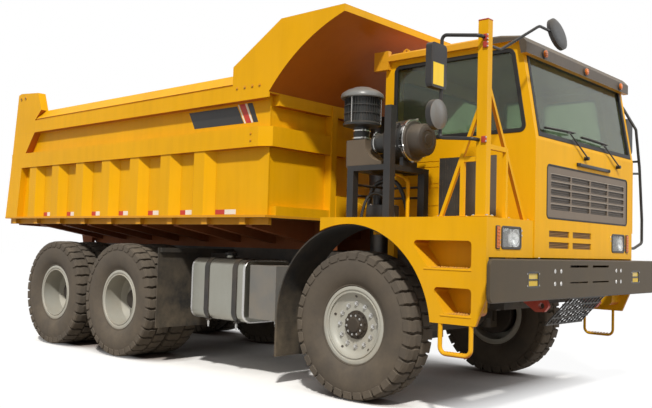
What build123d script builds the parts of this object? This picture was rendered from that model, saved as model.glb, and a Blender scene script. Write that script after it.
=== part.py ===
from build123d import *
import os
from math import cos, pi, sin, tau

os.makedirs("parts", exist_ok=True)

# A six-wheel mining dump truck with an offset cab.
# Units are millimetres. X points forward, Y to the truck's left, Z up.
# The origin is on the ground, under the middle of the overall length.

# ---------------------------------------------------------------- main sizes
nose_ahead = 1640  # bumper face ahead of the front axle
tail_back = 6545  # tail of the bed behind the front axle
front_axle_x = (tail_back - nose_ahead) / 2
first_axle_gap = 3600  # front axle to the first drive axle
bogie_gap = 1500  # between the two drive axles
drive_axle_x = {
    "mid": front_axle_x - first_axle_gap,
    "rear": front_axle_x - first_axle_gap - bogie_gap,
}


def at(ahead):
    """X of a place given ahead of the front axle."""
    return front_axle_x + ahead


# wheels and tyres: a 25 inch rim with a 14 inch wide tyre
tyre_radius = 685
tyre_half_width = 188
tread_half_width = 160
bead_radius = 318.5
rim_base_radius = 317.5
rim_flange_radius = 356
rim_half_width = 140
rim_flange = 12
rim_wall = 18
front_wheel_y = 1262
outer_dual_y = 1376
dual_gap = 405
inner_dual_y = outer_dual_y - dual_gap
axle_z = tyre_radius
running_fit = 0.05

# frame
rail_outer_y = 460
rail_flange = 90
rail_web = 16
rail_depth = 330
rail_top_z = 1340
rail_front_x = at(1330)
rail_rear_x = at(-6060)
pad_height = 14.5  # rubber strips that the bed rests on

# wings, deck and bumper
side_y = 1506  # outer face of the wings
arch_radius = 924
cab_floor_z = axle_z + arch_radius + 16
wing_plate = 30
deck_z = cab_floor_z + 45
left_wing_z = cab_floor_z - 4  # the left wing stops under the cab
left_deck_plate = 12
deck_rear_x = at(-342)
wing_front_x = at(1440)
wing_bottom_z = 795
bumper_half_width = 1790
bumper_z = (1005, 1340)
bumper_depth = 150
nose_x = at(nose_ahead)

# cab
cab_right_y, cab_left_y = -720, 1500
cab_rear_x, cab_front_x = at(-210), at(1450)
cab_belt_z = 2385
cab_top_z = 3270
pillar_lean = 155  # how far the windscreen's top is behind its foot
cab_wall = 45
panel_gap = 8

# bed
bed_half_width = 1550
bed_sheet = 14
sheet_y = bed_half_width - 110  # inner face of the side sheets
corner_y = bed_half_width - 150  # where the front wall's rails meet the corners
bed_floor_z = 1700
wear_plate = 4  # a plate let in between the sheets
bed_seat_z = bed_floor_z - wear_plate
bed_front_x = at(-1050)
bed_tail_x = at(-tail_back)
front_sheet_x = bed_front_x - 100
mid_rail_z = (2395, 2600)
top_rail_z = (2885, 3060)
bed_top_z = 3185
bed_beam_z = rail_top_z + pad_height + 0.5
bed_hinge_x, bed_hinge_z = at(-5900), 1290
bed_hinge_radius = 45

# front hoist: a rod standing on the frame, two stages and an outer cover
# that is held to the bed's floor by two trunnions
hoist_foot = (at(-775), 1180)
hoist_lug = (at(-800), 1700)
foot_pin_radius = 40
trunnion_radius = 45

# steering
kingpin_y = 985
kingpin_radius = 30
spindle_radius = 55
beam_eye_z = (605, 765)


def block(x, y, z, mode=Mode.ADD):
    """A box between two limits along each axis."""
    middle = tuple((low + high) / 2 for low, high in (x, y, z))
    size = [abs(high - low) for low, high in (x, y, z)]
    with Locations(middle):
        Box(*size, mode=mode)


def plate_along_y(points, y, mode=Mode.ADD, corner=0, grow=0):
    """A flat plate with an outline in X and Z, from y[0] to y[1].

    The outline's corners can be rounded, and the whole of it then grown."""
    plane = Plane(origin=(0, y[0], 0), x_dir=(1, 0, 0), z_dir=(0, -1, 0))
    with BuildSketch(plane) as outline:
        with BuildLine():
            Polyline(*points, close=True)
        make_face()
        if corner:
            fillet(outline.vertices(), corner)
        if grow:
            offset(amount=grow)
    extrude(outline.sketch, amount=-(y[1] - y[0]), mode=mode)


def plate_along_x(points, x, mode=Mode.ADD):
    """A flat plate with an outline in Y and Z, from x[0] to x[1]."""
    plane = Plane(origin=(x[0], 0, 0), x_dir=(0, 1, 0), z_dir=(1, 0, 0))
    with BuildSketch(plane) as outline:
        with BuildLine():
            Polyline(*points, close=True)
        make_face()
    extrude(outline.sketch, amount=x[1] - x[0], mode=mode)


def rod(start, end, radius, mode=Mode.ADD):
    """A round bar between two points."""
    run = Vector(*end) - Vector(*start)
    with BuildSketch(Plane(origin=start, z_dir=run.normalized())) as section:
        Circle(radius)
    extrude(section.sketch, amount=run.length, mode=mode)


def bar(start, end, width, height):
    """A rectangular bar between two points, its height kept upright."""
    run = Vector(*end) - Vector(*start)
    across = Vector(0, 0, 1).cross(run)
    across = across.normalized() if across.length > 1 else Vector(0, 1, 0)
    with BuildSketch(Plane(origin=start, x_dir=across, z_dir=run.normalized())) as section:
        Rectangle(width, height)
    extrude(section.sketch, amount=run.length)


def tube_run(points, radius, bend):
    """A tube bent through several points, with a round bend at each corner."""
    with BuildLine() as path:
        FilletPolyline(*points, radius=bend)
    with BuildSketch(Plane(origin=path.line @ 0, z_dir=path.line % 0)) as section:
        Circle(radius)
    sweep(section.sketch, path=path.line)


def panel_facing_x(x, y, z, corner, mode=Mode.ADD):
    """A flat panel between x[0] and x[1] with rounded corners."""
    with BuildSketch(Plane.YZ.offset(x[0])) as outline:
        with Locations(((y[0] + y[1]) / 2, (z[0] + z[1]) / 2)):
            RectangleRounded(abs(y[1] - y[0]), abs(z[1] - z[0]), corner)
    extrude(outline.sketch, amount=x[1] - x[0], mode=mode)


def ring_plate(points, y):
    """A plate along Y whose outline is made of straight runs and arcs.

    Each entry is a point, or a pair: the middle and the end of an arc."""
    plane = Plane(origin=(0, y[0], 0), x_dir=(1, 0, 0), z_dir=(0, -1, 0))
    with BuildSketch(plane) as outline:
        with BuildLine():
            here = points[0]
            for entry in points[1:] + points[:1]:
                if isinstance(entry[0], tuple):
                    ThreePointArc(here, entry[0], entry[1])
                    here = entry[1]
                else:
                    Line(here, entry)
                    here = entry
        make_face()
    extrude(outline.sketch, amount=-(y[1] - y[0]))


def wheel_plane(x, y):
    """Plane through a wheel's middle: its x runs along +Y, its y is the radius."""
    return Plane(origin=(x, y, axle_z), x_dir=(0, 1, 0), z_dir=(1, 0, 0))


def turned(points, x, y, side, mode=Mode.ADD):
    """A body of revolution about a wheel's axle; points are (outward, radius)."""
    with BuildSketch(wheel_plane(x, y)) as section:
        with BuildLine():
            Polyline(*[(side * w, r) for w, r in points], close=True)
        make_face()
    revolve(section.sketch, axis=Axis((x, y, axle_z), (0, 1, 0)), mode=mode)


# ---------------------------------------------------------------- tyres
lug_count = 18
lug_share = 0.7  # of the pitch that a lug fills at its foot
lug_slope = 0.09  # of the pitch that each flank of a lug takes
groove_radius = tyre_radius - 30
# the carcass from shoulder to bead: (offset from the middle, radius of its flats)
bead_offset = rim_half_width - rim_flange - 0.1
sidewall = [(tread_half_width, 626), (tyre_half_width, 530), (bead_offset, rim_flange_radius + 10),
            (bead_offset, bead_radius)]
lug_pitch = 2 * pi / lug_count


def round_axle(radius, turns):
    """Points (x, z) about the axle; turns are counted in lugs from the wheel's foot."""
    return [(radius * sin(turn * lug_pitch), axle_z - radius * cos(turn * lug_pitch))
            for turn in turns]


def band(first, first_y, second, second_y):
    """Flat faces between two loops of as many points, the loops square to Y."""
    faces = []
    for (a, b), (c, d) in zip(zip(first, first[1:] + first[:1]), zip(second, second[1:] + second[:1])):
        corners = [(a[0], first_y, a[1]), (b[0], first_y, b[1]),
                   (d[0], second_y, d[1]), (c[0], second_y, c[1])]
        faces.append(Face(Wire.make_polygon(corners)))
    return faces


def add_tyre(x, y):
    """One tyre: a lugged tread between two sidewalls, open for its rim."""
    half, crown = lug_share / 2, lug_share / 2 - lug_slope
    crown_radius = tyre_radius / cos(crown * lug_pitch)  # so that a lug lies flat on the ground
    tread = []
    for lug in range(lug_count):
        tread += round_axle(groove_radius, [lug - half])
        tread += round_axle(crown_radius, [lug - crown, lug + crown])
        tread += round_axle(groove_radius, [lug + half])
    rings = [(w, round_axle(r / cos(lug_pitch / 2), [lug + 0.5 for lug in range(lug_count)]))
             for w, r in sidewall]
    shoulder, bead = rings[0], rings[-1]
    faces = band(tread, -shoulder[0], tread, shoulder[0])
    faces += band(bead[1], -bead[0], bead[1], bead[0])
    for side in (1, -1):
        edges = [Wire.make_polygon([(px, side * shoulder[0], pz) for px, pz in loop])
                 for loop in (tread, shoulder[1])]
        faces.append(Face(edges[0], edges[1:]))
        for (w, ring), (next_w, next_ring) in zip(rings, rings[1:]):
            faces += band(ring, side * w, next_ring, side * next_w)
    with Locations((x, y, 0)):
        add(Solid(Shell(faces)))


# ---------------------------------------------------------------- rims
def rim_barrel():
    """Outline of the rim's tube with its two flanges, outer side first."""
    edge, lip = rim_half_width, rim_half_width - rim_flange
    floor = rim_base_radius - rim_wall
    return [
        (-edge, floor), (-edge, rim_flange_radius), (-lip, rim_flange_radius),
        (-lip, rim_base_radius), (lip, rim_base_radius), (lip, rim_flange_radius),
        (edge, rim_flange_radius), (edge, floor),
    ]


front_hub_radius = 128
front_disc_w = 78  # outer face of the front disc at the nut circle
front_bore_depth = 70
front_hole_circle, front_hole_count, front_hole_radius = 215, 5, 22


def add_front_rim(x, y, side):
    turned(rim_barrel(), x, y, side)
    disc = [
        (60, rim_base_radius - rim_wall + 1), (118, rim_base_radius - rim_wall + 1),
        (front_disc_w + 12, 262), (front_disc_w, 240), (front_disc_w, 0),
        (front_disc_w - 24, 0), (front_disc_w - 24, 240),
    ]
    turned(disc, x, y, side)
    hub = [
        (-150, 0), (-150, front_hub_radius), (front_disc_w - 5, front_hub_radius),
        (128, front_hub_radius - 12), (138, 95), (138, 0),
    ]
    turned(hub, x, y, side)
    face = Plane(origin=(x, y + side * (front_disc_w - 24), axle_z), x_dir=(1, 0, 0),
                 z_dir=(0, side, 0))
    with BuildSketch(face) as hand_holes:
        with PolarLocations(front_hole_circle, front_hole_count):
            Circle(front_hole_radius)
    extrude(hand_holes.sketch, amount=30, mode=Mode.SUBTRACT)
    drum = [(-150, 0), (-150, 190), (front_disc_w - 50, 190), (front_disc_w - 50, 0)]
    turned(drum, x, y, side)
    bore = [(-151, 0), (-151, spindle_radius + running_fit),
            (front_bore_depth, spindle_radius + running_fit), (front_bore_depth, 0)]
    turned(bore, x, y, side, mode=Mode.SUBTRACT)


axle_tube_radius = 80
dual_bore_end = 1180


def add_dual_rims(x, side):
    for y in (inner_dual_y, outer_dual_y):
        turned(rim_barrel(), x, side * y, side)
    middle = (inner_dual_y + outer_dual_y) / 2
    half = middle - inner_dual_y
    floor = rim_base_radius - rim_wall
    disc = [(half - 90, floor + 1), (half - 118, floor + 1), (-1, 240), (-1, 0), (22, 0), (22, 250)]
    turned(disc, x, side * middle, side)
    turned([(-w, r) for w, r in disc], x, side * middle, side)
    hub = [
        (-240, 0), (-240, 140), (-60, 165), (60, 165), (110, 140),
        (150, 125), (165, 100), (165, 0),
    ]
    turned(hub, x, side * middle, side)
    drum = [(-265, 0), (-265, 238), (-60, 238), (-20, 200), (-20, 0)]
    turned(drum, x, side * middle, side)
    reach = dual_bore_end - middle
    fit = axle_tube_radius + running_fit
    bore = [(-266, 0), (-266, fit), (reach, fit), (reach, 0)]
    turned(bore, x, side * middle, side, mode=Mode.SUBTRACT)


for side, name in ((1, "left"), (-1, "right")):
    with BuildPart() as tyre:
        add_tyre(front_axle_x, side * front_wheel_y)
    tyre.part.label = f"tyre_front_{name}"
    export_step(tyre.part, f"parts/tyre_front_{name}.step")

    with BuildPart() as rim:
        add_front_rim(front_axle_x, side * front_wheel_y, side)
    rim.part.label = f"rim_front_{name}"
    export_step(rim.part, f"parts/rim_front_{name}.step")

    for axle, x in drive_axle_x.items():
        with BuildPart() as tyres:
            add_tyre(x, side * inner_dual_y)
            add_tyre(x, side * outer_dual_y)
        tyres.part.label = f"tyres_{axle}_{name}"
        export_step(tyres.part, f"parts/tyres_{axle}_{name}.step")

        with BuildPart() as rims:
            add_dual_rims(x, side)
        rims.part.label = f"rims_{axle}_{name}"
        export_step(rims.part, f"parts/rims_{axle}_{name}.step")

# ---------------------------------------------------------------- frame
# cross-members: (name, ahead of the front axle, length along X, low z, high z)
cross_members = [
    ("nose", 1250, 120, 1060, 1300),
    ("nose foot", 1215, 90, 925, 1012),
    ("hoist front", -470, 60, 1110, 1300),
    ("hoist rear", -1040, 60, 1110, 1300),
    ("tank", -2300, 120, 1060, 1300),
    ("bogie front", -3350, 120, 1060, 1300),
    ("bogie", -4350, 300, 1050, 1320),
    ("bogie rear", -5350, 120, 1060, 1300),
    ("tail", -5980, 120, 1060, 1300),
]
cradle_y = (65, 95)

with BuildPart() as frame:
    rail_low_z = rail_top_z - rail_depth
    for side in (1, -1):
        web = rail_outer_y - rail_web
        lip = rail_outer_y - rail_flange
        channel = [
            (side * rail_outer_y, rail_low_z), (side * rail_outer_y, rail_top_z),
            (side * lip, rail_top_z), (side * lip, rail_top_z - rail_web),
            (side * web, rail_top_z - rail_web), (side * web, rail_low_z + rail_web),
            (side * lip, rail_low_z + rail_web), (side * lip, rail_low_z),
        ]
        plate_along_x(channel, (rail_rear_x, rail_front_x))
        # rubber strip under the bed's beams
        block((rail_rear_x + 300, at(-1250)), (side * (lip + 5), side * (rail_outer_y - 5)),
              (rail_top_z, rail_top_z + pad_height))
        # cradle of the hoist
        plate_along_y(
            [(at(-1040), 1125), (at(-470), 1125), (at(-470), 1215), (at(-700), 1245),
             (at(-850), 1245), (at(-1040), 1215)],
            (side * cradle_y[0], side * cradle_y[1]))
        # hinge ears at the tail
        plate_along_y(
            [(bed_hinge_x - 120, 1120), (bed_hinge_x + 150, 1120), (bed_hinge_x + 90, 1350),
             (bed_hinge_x - 60, 1350), (bed_hinge_x - 120, 1290)],
            (side * rail_outer_y, side * (rail_outer_y + 40)))
    inner = rail_outer_y - rail_web
    for _, ahead, length, low, high in cross_members:
        block((at(ahead) - length / 2, at(ahead) + length / 2), (-inner, inner), (low, high))
    rod((hoist_foot[0], -cradle_y[1] - 5, hoist_foot[1]), (hoist_foot[0], cradle_y[1] + 5, hoist_foot[1]),
        foot_pin_radius + running_fit, mode=Mode.SUBTRACT)
    rod((bed_hinge_x, -520, bed_hinge_z), (bed_hinge_x, 520, bed_hinge_z),
        bed_hinge_radius + running_fit, mode=Mode.SUBTRACT)
frame.part.label = "frame"
export_step(frame.part, "parts/frame.step")

tow_eye = (at(1445), 932)
tow_eye_radius = 28
tow_hook_y = (522, 567)

with BuildPart() as tow_hooks:
    for side in (1, -1):
        y = (side * tow_hook_y[0], side * tow_hook_y[1])
        plate_along_y([(at(1265), rail_low_z), (at(1325), rail_low_z), (at(1485), 990),
                       (at(1510), 930), (at(1470), 880), (at(1390), 875), (at(1265), 960)],
                      y, corner=14)
        block((at(1275), at(1325)), (side * rail_outer_y, side * (tow_hook_y[0] + 1)),
              (rail_low_z - 40, rail_low_z + 24))
        rod((tow_eye[0], y[0] - side, tow_eye[1]), (tow_eye[0], y[1] + side, tow_eye[1]),
            tow_eye_radius, mode=Mode.SUBTRACT)
tow_hooks.part.label = "tow_hooks"
export_step(tow_hooks.part, "parts/tow_hooks.step")

# ---------------------------------------------------------------- axles and springs
spring_y = (375, 465)
spring_reach = 780
spring_z = 800

with BuildPart() as front_axle:
    dropped = [(-860, 640), (-700, 560), (700, 560), (860, 640), (kingpin_y - 20, 640),
               (kingpin_y - 20, 740), (840, 740), (680, 690), (-680, 690), (-840, 740),
               (-kingpin_y + 20, 740), (-kingpin_y + 20, 640)]
    plate_along_x(dropped, (front_axle_x - 55, front_axle_x + 55))
    for side in (1, -1):
        rod((front_axle_x, side * kingpin_y, beam_eye_z[0]),
            (front_axle_x, side * kingpin_y, beam_eye_z[1]), 60)
        rod((front_axle_x, side * kingpin_y, beam_eye_z[0] - 1),
            (front_axle_x, side * kingpin_y, beam_eye_z[1] + 1),
            kingpin_radius + running_fit, mode=Mode.SUBTRACT)
        block((front_axle_x - 90, front_axle_x + 90), (side * spring_y[0], side * spring_y[1]),
              (680, spring_z - 60))
front_axle.part.label = "front_axle"
export_step(front_axle.part, "parts/front_axle.step")

for side, name in ((1, "left"), (-1, "right")):
    with BuildPart() as knuckle:
        low, high = beam_eye_z
        y = side * kingpin_y
        for z in ((low - 70.5, low - 0.5), (high + 0.5, high + 70.5)):
            rod((front_axle_x, y, z[0]), (front_axle_x, y, z[1]), 62)
            block((front_axle_x - 60, front_axle_x + 60), (y, y + side * 118), z)
        block((front_axle_x - 60, front_axle_x + 60), (y + side * 66, y + side * 118),
              (low - 70.5, high + 70.5))
        rod((front_axle_x, y, low - 60), (front_axle_x, y, high + 60), kingpin_radius)
        rod((front_axle_x, y + side * 100, axle_z),
            (front_axle_x, side * (front_wheel_y + front_bore_depth - 4), axle_z),
            spindle_radius)
        # steering arm towards the rear
        block((front_axle_x - 330, front_axle_x), (y - side * 35, y + side * 35),
              (low - 70.5, low - 30))
    knuckle.part.label = f"knuckle_{name}"
    export_step(knuckle.part, f"parts/knuckle_{name}.step")


def leaf_pack(middle, reach, y, top_z, leaves, drop, camber, thickness=22):
    """Stacked curved leaves; camber lifts (or drops) their ends."""
    for leaf in range(leaves):
        length = reach * (1 - leaf * drop)
        z = top_z - leaf * thickness
        lift = camber * (length / reach) ** 2
        plane = Plane(origin=(middle, y[0], 0), x_dir=(1, 0, 0), z_dir=(0, -1, 0))
        with BuildSketch(plane) as side_view:
            with BuildLine():
                ThreePointArc((-length, z + lift), (0, z), (length, z + lift))
                Line((length, z + lift), (length, z + lift - thickness))
                ThreePointArc((length, z + lift - thickness), (0, z - thickness),
                              (-length, z + lift - thickness))
                Line((-length, z + lift - thickness), (-length, z + lift))
            make_face()
        extrude(side_view.sketch, amount=-(y[1] - y[0]))


with BuildPart() as front_springs:
    for side in (1, -1):
        y = (side * spring_y[0], side * spring_y[1])
        leaf_pack(front_axle_x, spring_reach, y, spring_z + 6, 3, 0.2, 110)
        for end in (-1, 1):
            foot = front_axle_x + end * (spring_reach - 5)
            block((foot - 45, foot + 45), y, (spring_z + 65, rail_top_z - rail_depth))
front_springs.part.label = "front_springs"
export_step(front_springs.part, "parts/front_springs.step")

dual_drum_y = (inner_dual_y + outer_dual_y) / 2 - 265

with BuildPart() as drive_axles:
    for x in drive_axle_x.values():
        rod((x, -dual_bore_end + 4, axle_z), (x, dual_bore_end - 4, axle_z), axle_tube_radius)
        rod((x, -(dual_drum_y - 10), axle_z), (x, dual_drum_y - 10, axle_z), 105)
        with Locations((x, 0, axle_z)):
            Sphere(225)
        rod((x, 0, axle_z + 60), (x + 330, 0, axle_z + 60), 130)
        for side in (1, -1):
            block((x - 80, x + 80), (side * 545, side * 655), (axle_z + 60, axle_z + 137.8))
    # the shaft that joins the two axles
    rod((drive_axle_x["rear"] + 330, 0, axle_z + 60),
        (drive_axle_x["mid"] - 190, 0, axle_z + 60), 55)
drive_axles.part.label = "drive_axles"
export_step(drive_axles.part, "parts/drive_axles.step")

bogie_x = (drive_axle_x["mid"] + drive_axle_x["rear"]) / 2

with BuildPart() as rear_springs:
    for side in (1, -1):
        y = (side * 545, side * 655)
        leaf_pack(bogie_x, bogie_gap / 2 + 60, y, axle_z + 262, 4, 0.13, -100, 24)
        block((bogie_x - 130, bogie_x + 130), (side * 535, side * 665), (860, axle_z + 166))
        block((bogie_x - 150, bogie_x + 150), (side * rail_outer_y, side * 535),
              (870, 1250))
    rod((bogie_x, -665, 885), (bogie_x, 665, 885), 60)
rear_springs.part.label = "rear_springs"
export_step(rear_springs.part, "parts/rear_springs.step")

# ---------------------------------------------------------------- engine and shafts
gearbox_x = (at(-1330), at(-410))

with BuildPart() as engine:
    block((at(-410), at(950)), (-330, 330), (850, 1560))
    block((gearbox_x[0], gearbox_x[1] + 1), (-210, 210), (720, 1040))
    for x in (at(-300), at(800)):
        block((x - 60, x + 60), (-rail_outer_y + rail_web, rail_outer_y - rail_web), (1090, 1150))
engine.part.label = "engine"
export_step(engine.part, "parts/engine.step")

with BuildPart() as drive_shaft:
    start, end = (drive_axle_x["mid"] + 330, axle_z + 60), (gearbox_x[0], 900)
    rod((start[0] + 8, 0, start[1]), (end[0] - 8, 0, end[1]), 60)
    rod((start[0], 0, start[1]), (start[0] + 16, 0, start[1]), 85)
    rod((end[0] - 16, 0, end[1]), (end[0], 0, end[1]), 85)
drive_shaft.part.label = "drive_shaft"
export_step(drive_shaft.part, "parts/drive_shaft.step")

# ---------------------------------------------------------------- wings
# step openings in a wing's side: corners ahead of the front axle and height
upper_step = [(700, 1475), (1305, 1475), (1305, 1250), (886, 1250)]
lower_step = [(926, 1090), (1310, 1090), (1310, 875), (1057, 875)]
step_inner_y = 1290
step_wall, step_corner = 14, 35
lamp_y = (950, 1268)
lamp_z = (1425, 1600)
indicator_y = (1310, 1360)

for side, name, top, plate, inner_y in (
    (-1, "right", deck_z, wing_plate, 724), (1, "left", left_wing_z, left_deck_plate, 900),
):
    with BuildPart() as wing:
        outline = [
            (deck_rear_x, 1500), (deck_rear_x, top), (wing_front_x, top),
            (wing_front_x, 1005), (at(1351), wing_bottom_z), (at(898), wing_bottom_z),
            (at(850), 1000),
        ]
        plate_along_y(outline, (side * (side_y - wing_plate), side * side_y))
        rod((front_axle_x, side * (side_y - 2 * wing_plate), axle_z),
            (front_axle_x, side * (side_y + 5), axle_z), arch_radius, mode=Mode.SUBTRACT)
        for corners in (upper_step, lower_step):
            # a closed box let into the side, open outwards
            points = [(at(x), z) for x, z in corners]
            plate_along_y(points, (side * (step_inner_y - step_wall), side * (side_y - wing_plate)),
                          corner=step_corner, grow=step_wall)
            plate_along_y(points, (side * step_inner_y, side * (side_y + 5)),
                          mode=Mode.SUBTRACT, corner=step_corner)
        # deck plate, and the front face where the cab doesn't cover it
        front = wing_front_x if side < 0 else at(1376)
        block((deck_rear_x, front), (side * inner_y, side * (side_y - 5)), (top - plate, top))
        if side < 0:
            block((wing_front_x - wing_plate, wing_front_x), (side * inner_y, side * (side_y - 5)),
                  (1350, top - 5))
        block((wing_front_x - wing_plate, wing_front_x),
              (side * (side_y - 40), side * side_y), (1005, 1351))
        # braces to the frame
        for x in (at(-250), at(1100)):
            block((x - 40, x + 40), (side * rail_outer_y, side * (inner_y + 40)), (1530, 1600))
            block((x - 40, x + 40), (side * inner_y, side * (inner_y + 40)),
                  (1530, top - plate + 1))
            block((x - 40, x + 40), (side * rail_outer_y, side * (rail_outer_y + 60)),
                  (1200, 1540))
        # recess for the headlamp
        if side < 0:
            block((wing_front_x - 60, wing_front_x + 5), (side * lamp_y[0], side * lamp_y[1]),
                  lamp_z, mode=Mode.SUBTRACT)
    wing.part.label = f"wing_{name}"
    export_step(wing.part, f"parts/wing_{name}.step")

# ---------------------------------------------------------------- ladders
# bent tubes under the wings: (side, rear and front ahead of the axle, foot z, tube radius)
step_loops = [
    (-1, 1010, 1303, 549, 19),
    (1, 934, 1251, 528, 14),
]
loop_bend = 60

with BuildPart() as ladders:
    for side, rear, front, foot, radius in step_loops:
        y = side * (side_y - 2 - radius)
        tube_run([(at(rear), y, wing_bottom_z), (at(rear), y, foot), (at(front), y, foot),
                  (at(front), y, wing_bottom_z)], radius, loop_bend)
ladders.part.label = "ladders"
export_step(ladders.part, "parts/ladders.step")

# ---------------------------------------------------------------- bumper and its guard
fog_y, fog_z = 1095, 1176
fog_size = (182, 118)
slot_rows = ((1283, 20), (1141, 14))

bumper_plate = 25
bumper_flange = 12
bumper_corner = 55
bumper_taper_y = 1450  # the flanges narrow from here to the ends

with BuildPart() as bumper:
    panel_facing_x((nose_x - bumper_plate, nose_x), (-bumper_half_width, bumper_half_width),
                   bumper_z, bumper_corner)
    chamfer(bumper.faces().sort_by(Axis.X)[-1].edges(), 9)
    tip_y = bumper_half_width - bumper_corner
    back, face = nose_x - bumper_depth, nose_x - bumper_plate + 1
    for low in (bumper_z[0], bumper_z[1] - bumper_flange):
        with BuildSketch(Plane.XY.offset(low)) as flange:
            with BuildLine():
                Polyline((face, -tip_y), (face, tip_y), (face - 20, tip_y), (back, bumper_taper_y),
                         (back, -bumper_taper_y), (face - 20, -tip_y), close=True)
            make_face()
        extrude(flange.sketch, amount=bumper_flange)
    for side in (1, -1):
        with Locations((nose_x - 20, side * fog_y, fog_z)):
            Box(60, *fog_size, mode=Mode.SUBTRACT)
        for z, height in slot_rows:
            with Locations((nose_x - 10, side * 233, z)):
                Box(60, 367, height, mode=Mode.SUBTRACT)
        # arms back to the frame
        block((rail_front_x - 120, nose_x - 24), (side * rail_outer_y, side * (rail_outer_y + 30)),
              (1040, 1320))
bumper.part.label = "bumper"
export_step(bumper.part, "parts/bumper.step")

guard_y = (-250, 500)
guard_bars, guard_rails = 11, 5
guard_bar = 12

with BuildPart() as bumper_guard:
    top, foot = (at(1560), bumper_z[0] - guard_bar / 2 - 2), (at(1330), 740)
    for index in range(guard_bars):
        y = guard_y[0] + (guard_y[1] - guard_y[0]) * index / (guard_bars - 1)
        bar((top[0], y, top[1]), (foot[0], y, foot[1]), guard_bar, guard_bar)
    for index in range(guard_rails):
        t = index / (guard_rails - 1)
        x, z = top[0] + (foot[0] - top[0]) * t, top[1] + (foot[1] - top[1]) * t
        size = guard_bar + 4
        block((x - size / 2, x + size / 2), (guard_y[0] - guard_bar, guard_y[1] + guard_bar),
              (z - size / 2, z + size / 2))
bumper_guard.part.label = "bumper_guard"
export_step(bumper_guard.part, "parts/bumper_guard.step")

# ---------------------------------------------------------------- mudguards
guard_outer = arch_radius - 1
guard_wall = 14
guard_reach = (1010, side_y - wing_plate - 0.2)
flap_z = (300, 640)

with BuildPart() as mudguards:
    for side in (1, -1):
        plane = Plane(origin=(front_axle_x, side * guard_reach[0], axle_z),
                      x_dir=(1, 0, 0), z_dir=(0, -1, 0))
        with BuildSketch(plane) as ring:
            Circle(guard_outer)
            Circle(guard_outer - guard_wall, mode=Mode.SUBTRACT)
            with BuildLine():
                Polyline((0, 0), (2000, 1100), (2000, -2000), (-2000, -2000), (-2000, -120),
                         close=True)
            make_face(mode=Mode.SUBTRACT)
        extrude(ring.sketch, amount=-side * (guard_reach[1] - guard_reach[0]))
        x = front_axle_x - guard_outer
        block((x - 12, x + guard_wall), (side * guard_reach[0], side * guard_reach[1]),
              (flap_z[0], flap_z[1] + 20))
        # stay to the frame
        block((front_axle_x - 40, front_axle_x + 40), (side * rail_outer_y, side * 1060),
              (axle_z + guard_outer - 45, axle_z + guard_outer - 10))
        block((front_axle_x - 40, front_axle_x + 40), (side * rail_outer_y, side * (rail_outer_y + 30)),
              (1250, axle_z + guard_outer - 20))
        # rubber flap ahead of the drive wheels
        mid_x = drive_axle_x["mid"] + tyre_radius + 130
        block((mid_x, mid_x + 12), (side * 790, side * (bed_half_width + 10)), (420, 1330))
        block((mid_x + 12, mid_x + 50), (side * rail_outer_y, side * (bed_half_width - 10)), (1280, 1330))
mudguards.part.label = "mudguards"
export_step(mudguards.part, "parts/mudguards.step")

# ---------------------------------------------------------------- side tanks and boxes
tank_y = (640, 1330)
tank_x = (at(-2440), at(-1560))
tank_z = (560, 1230)

with BuildPart() as fuel_tank:
    with BuildSketch(Plane.YZ.offset(tank_x[0])) as section:
        with Locations((-(tank_y[0] + tank_y[1]) / 2, (tank_z[0] + tank_z[1]) / 2)):
            RectangleRounded(tank_y[1] - tank_y[0], tank_z[1] - tank_z[0], 110)
    extrude(amount=tank_x[1] - tank_x[0])
    rod((tank_x[0] + 160, -900, tank_z[1] - 5), (tank_x[0] + 160, -900, tank_z[1] + 45), 55)
    fuel_cap = (tank_x[0] + 160, -900)
fuel_tank.part.label = "fuel_tank"
export_step(fuel_tank.part, "parts/fuel_tank.step")

strap = 8
with BuildPart() as tank_brackets:
    for x in (tank_x[0] + 230, tank_x[1] - 190):
        with BuildSketch(Plane.YZ.offset(x)) as band:
            middle = (-(tank_y[0] + tank_y[1]) / 2, (tank_z[0] + tank_z[1]) / 2)
            with Locations(middle):
                RectangleRounded(tank_y[1] - tank_y[0] + 2 * strap,
                                 tank_z[1] - tank_z[0] + 2 * strap, 110 + strap)
                RectangleRounded(tank_y[1] - tank_y[0], tank_z[1] - tank_z[0], 110,
                                 mode=Mode.SUBTRACT)
        extrude(amount=70)
        block((x, x + 70), (-tank_y[0] + strap, -rail_outer_y), (1060, 1180))
        block((x, x + 70), (-tank_y[0] + strap, -tank_y[0] + strap + 40), (620, 1180))
tank_brackets.part.label = "tank_brackets"
export_step(tank_brackets.part, "parts/tank_brackets.step")

with BuildPart() as side_boxes:
    block((at(-1520), at(-1130)), (-1290, -660), (620, 1180))
    block((at(-1450), at(-1200)), (-661, -rail_outer_y), (1040, 1140))
    block((at(-2150), at(-1350)), (700, 1290), (640, 1200))
    for x in (at(-2000), at(-1500)):
        block((x - 40, x + 40), (rail_outer_y, 701), (1040, 1140))
side_boxes.part.label = "side_boxes"
export_step(side_boxes.part, "parts/side_boxes.step")

with BuildPart() as air_tanks:
    for z in (780, 1080):
        rod((at(-2700), 850, z), (at(-2230), 850, z), 125)
        block((at(-2500), at(-2430)), (rail_outer_y, 760), (z - 30, z + 30) if z > 1000 else (z - 30, 1110))
air_tanks.part.label = "air_tanks"
export_step(air_tanks.part, "parts/air_tanks.step")

# ---------------------------------------------------------------- air intake on the deck
cleaner_y = -1100
pre_x = at(-200)
pre_cleaner_section = [  # (radius, z)
    (0, 2960), (90, 2950), (190, 2900), (212, 2855), (205, 2850), (178, 2868),
    (168, 2860), (172, 2600), (185, 2590), (185, 2575), (85, 2560), (82, 2430), (0, 2430),
]
elbow_z = (2150, 2430)

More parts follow.
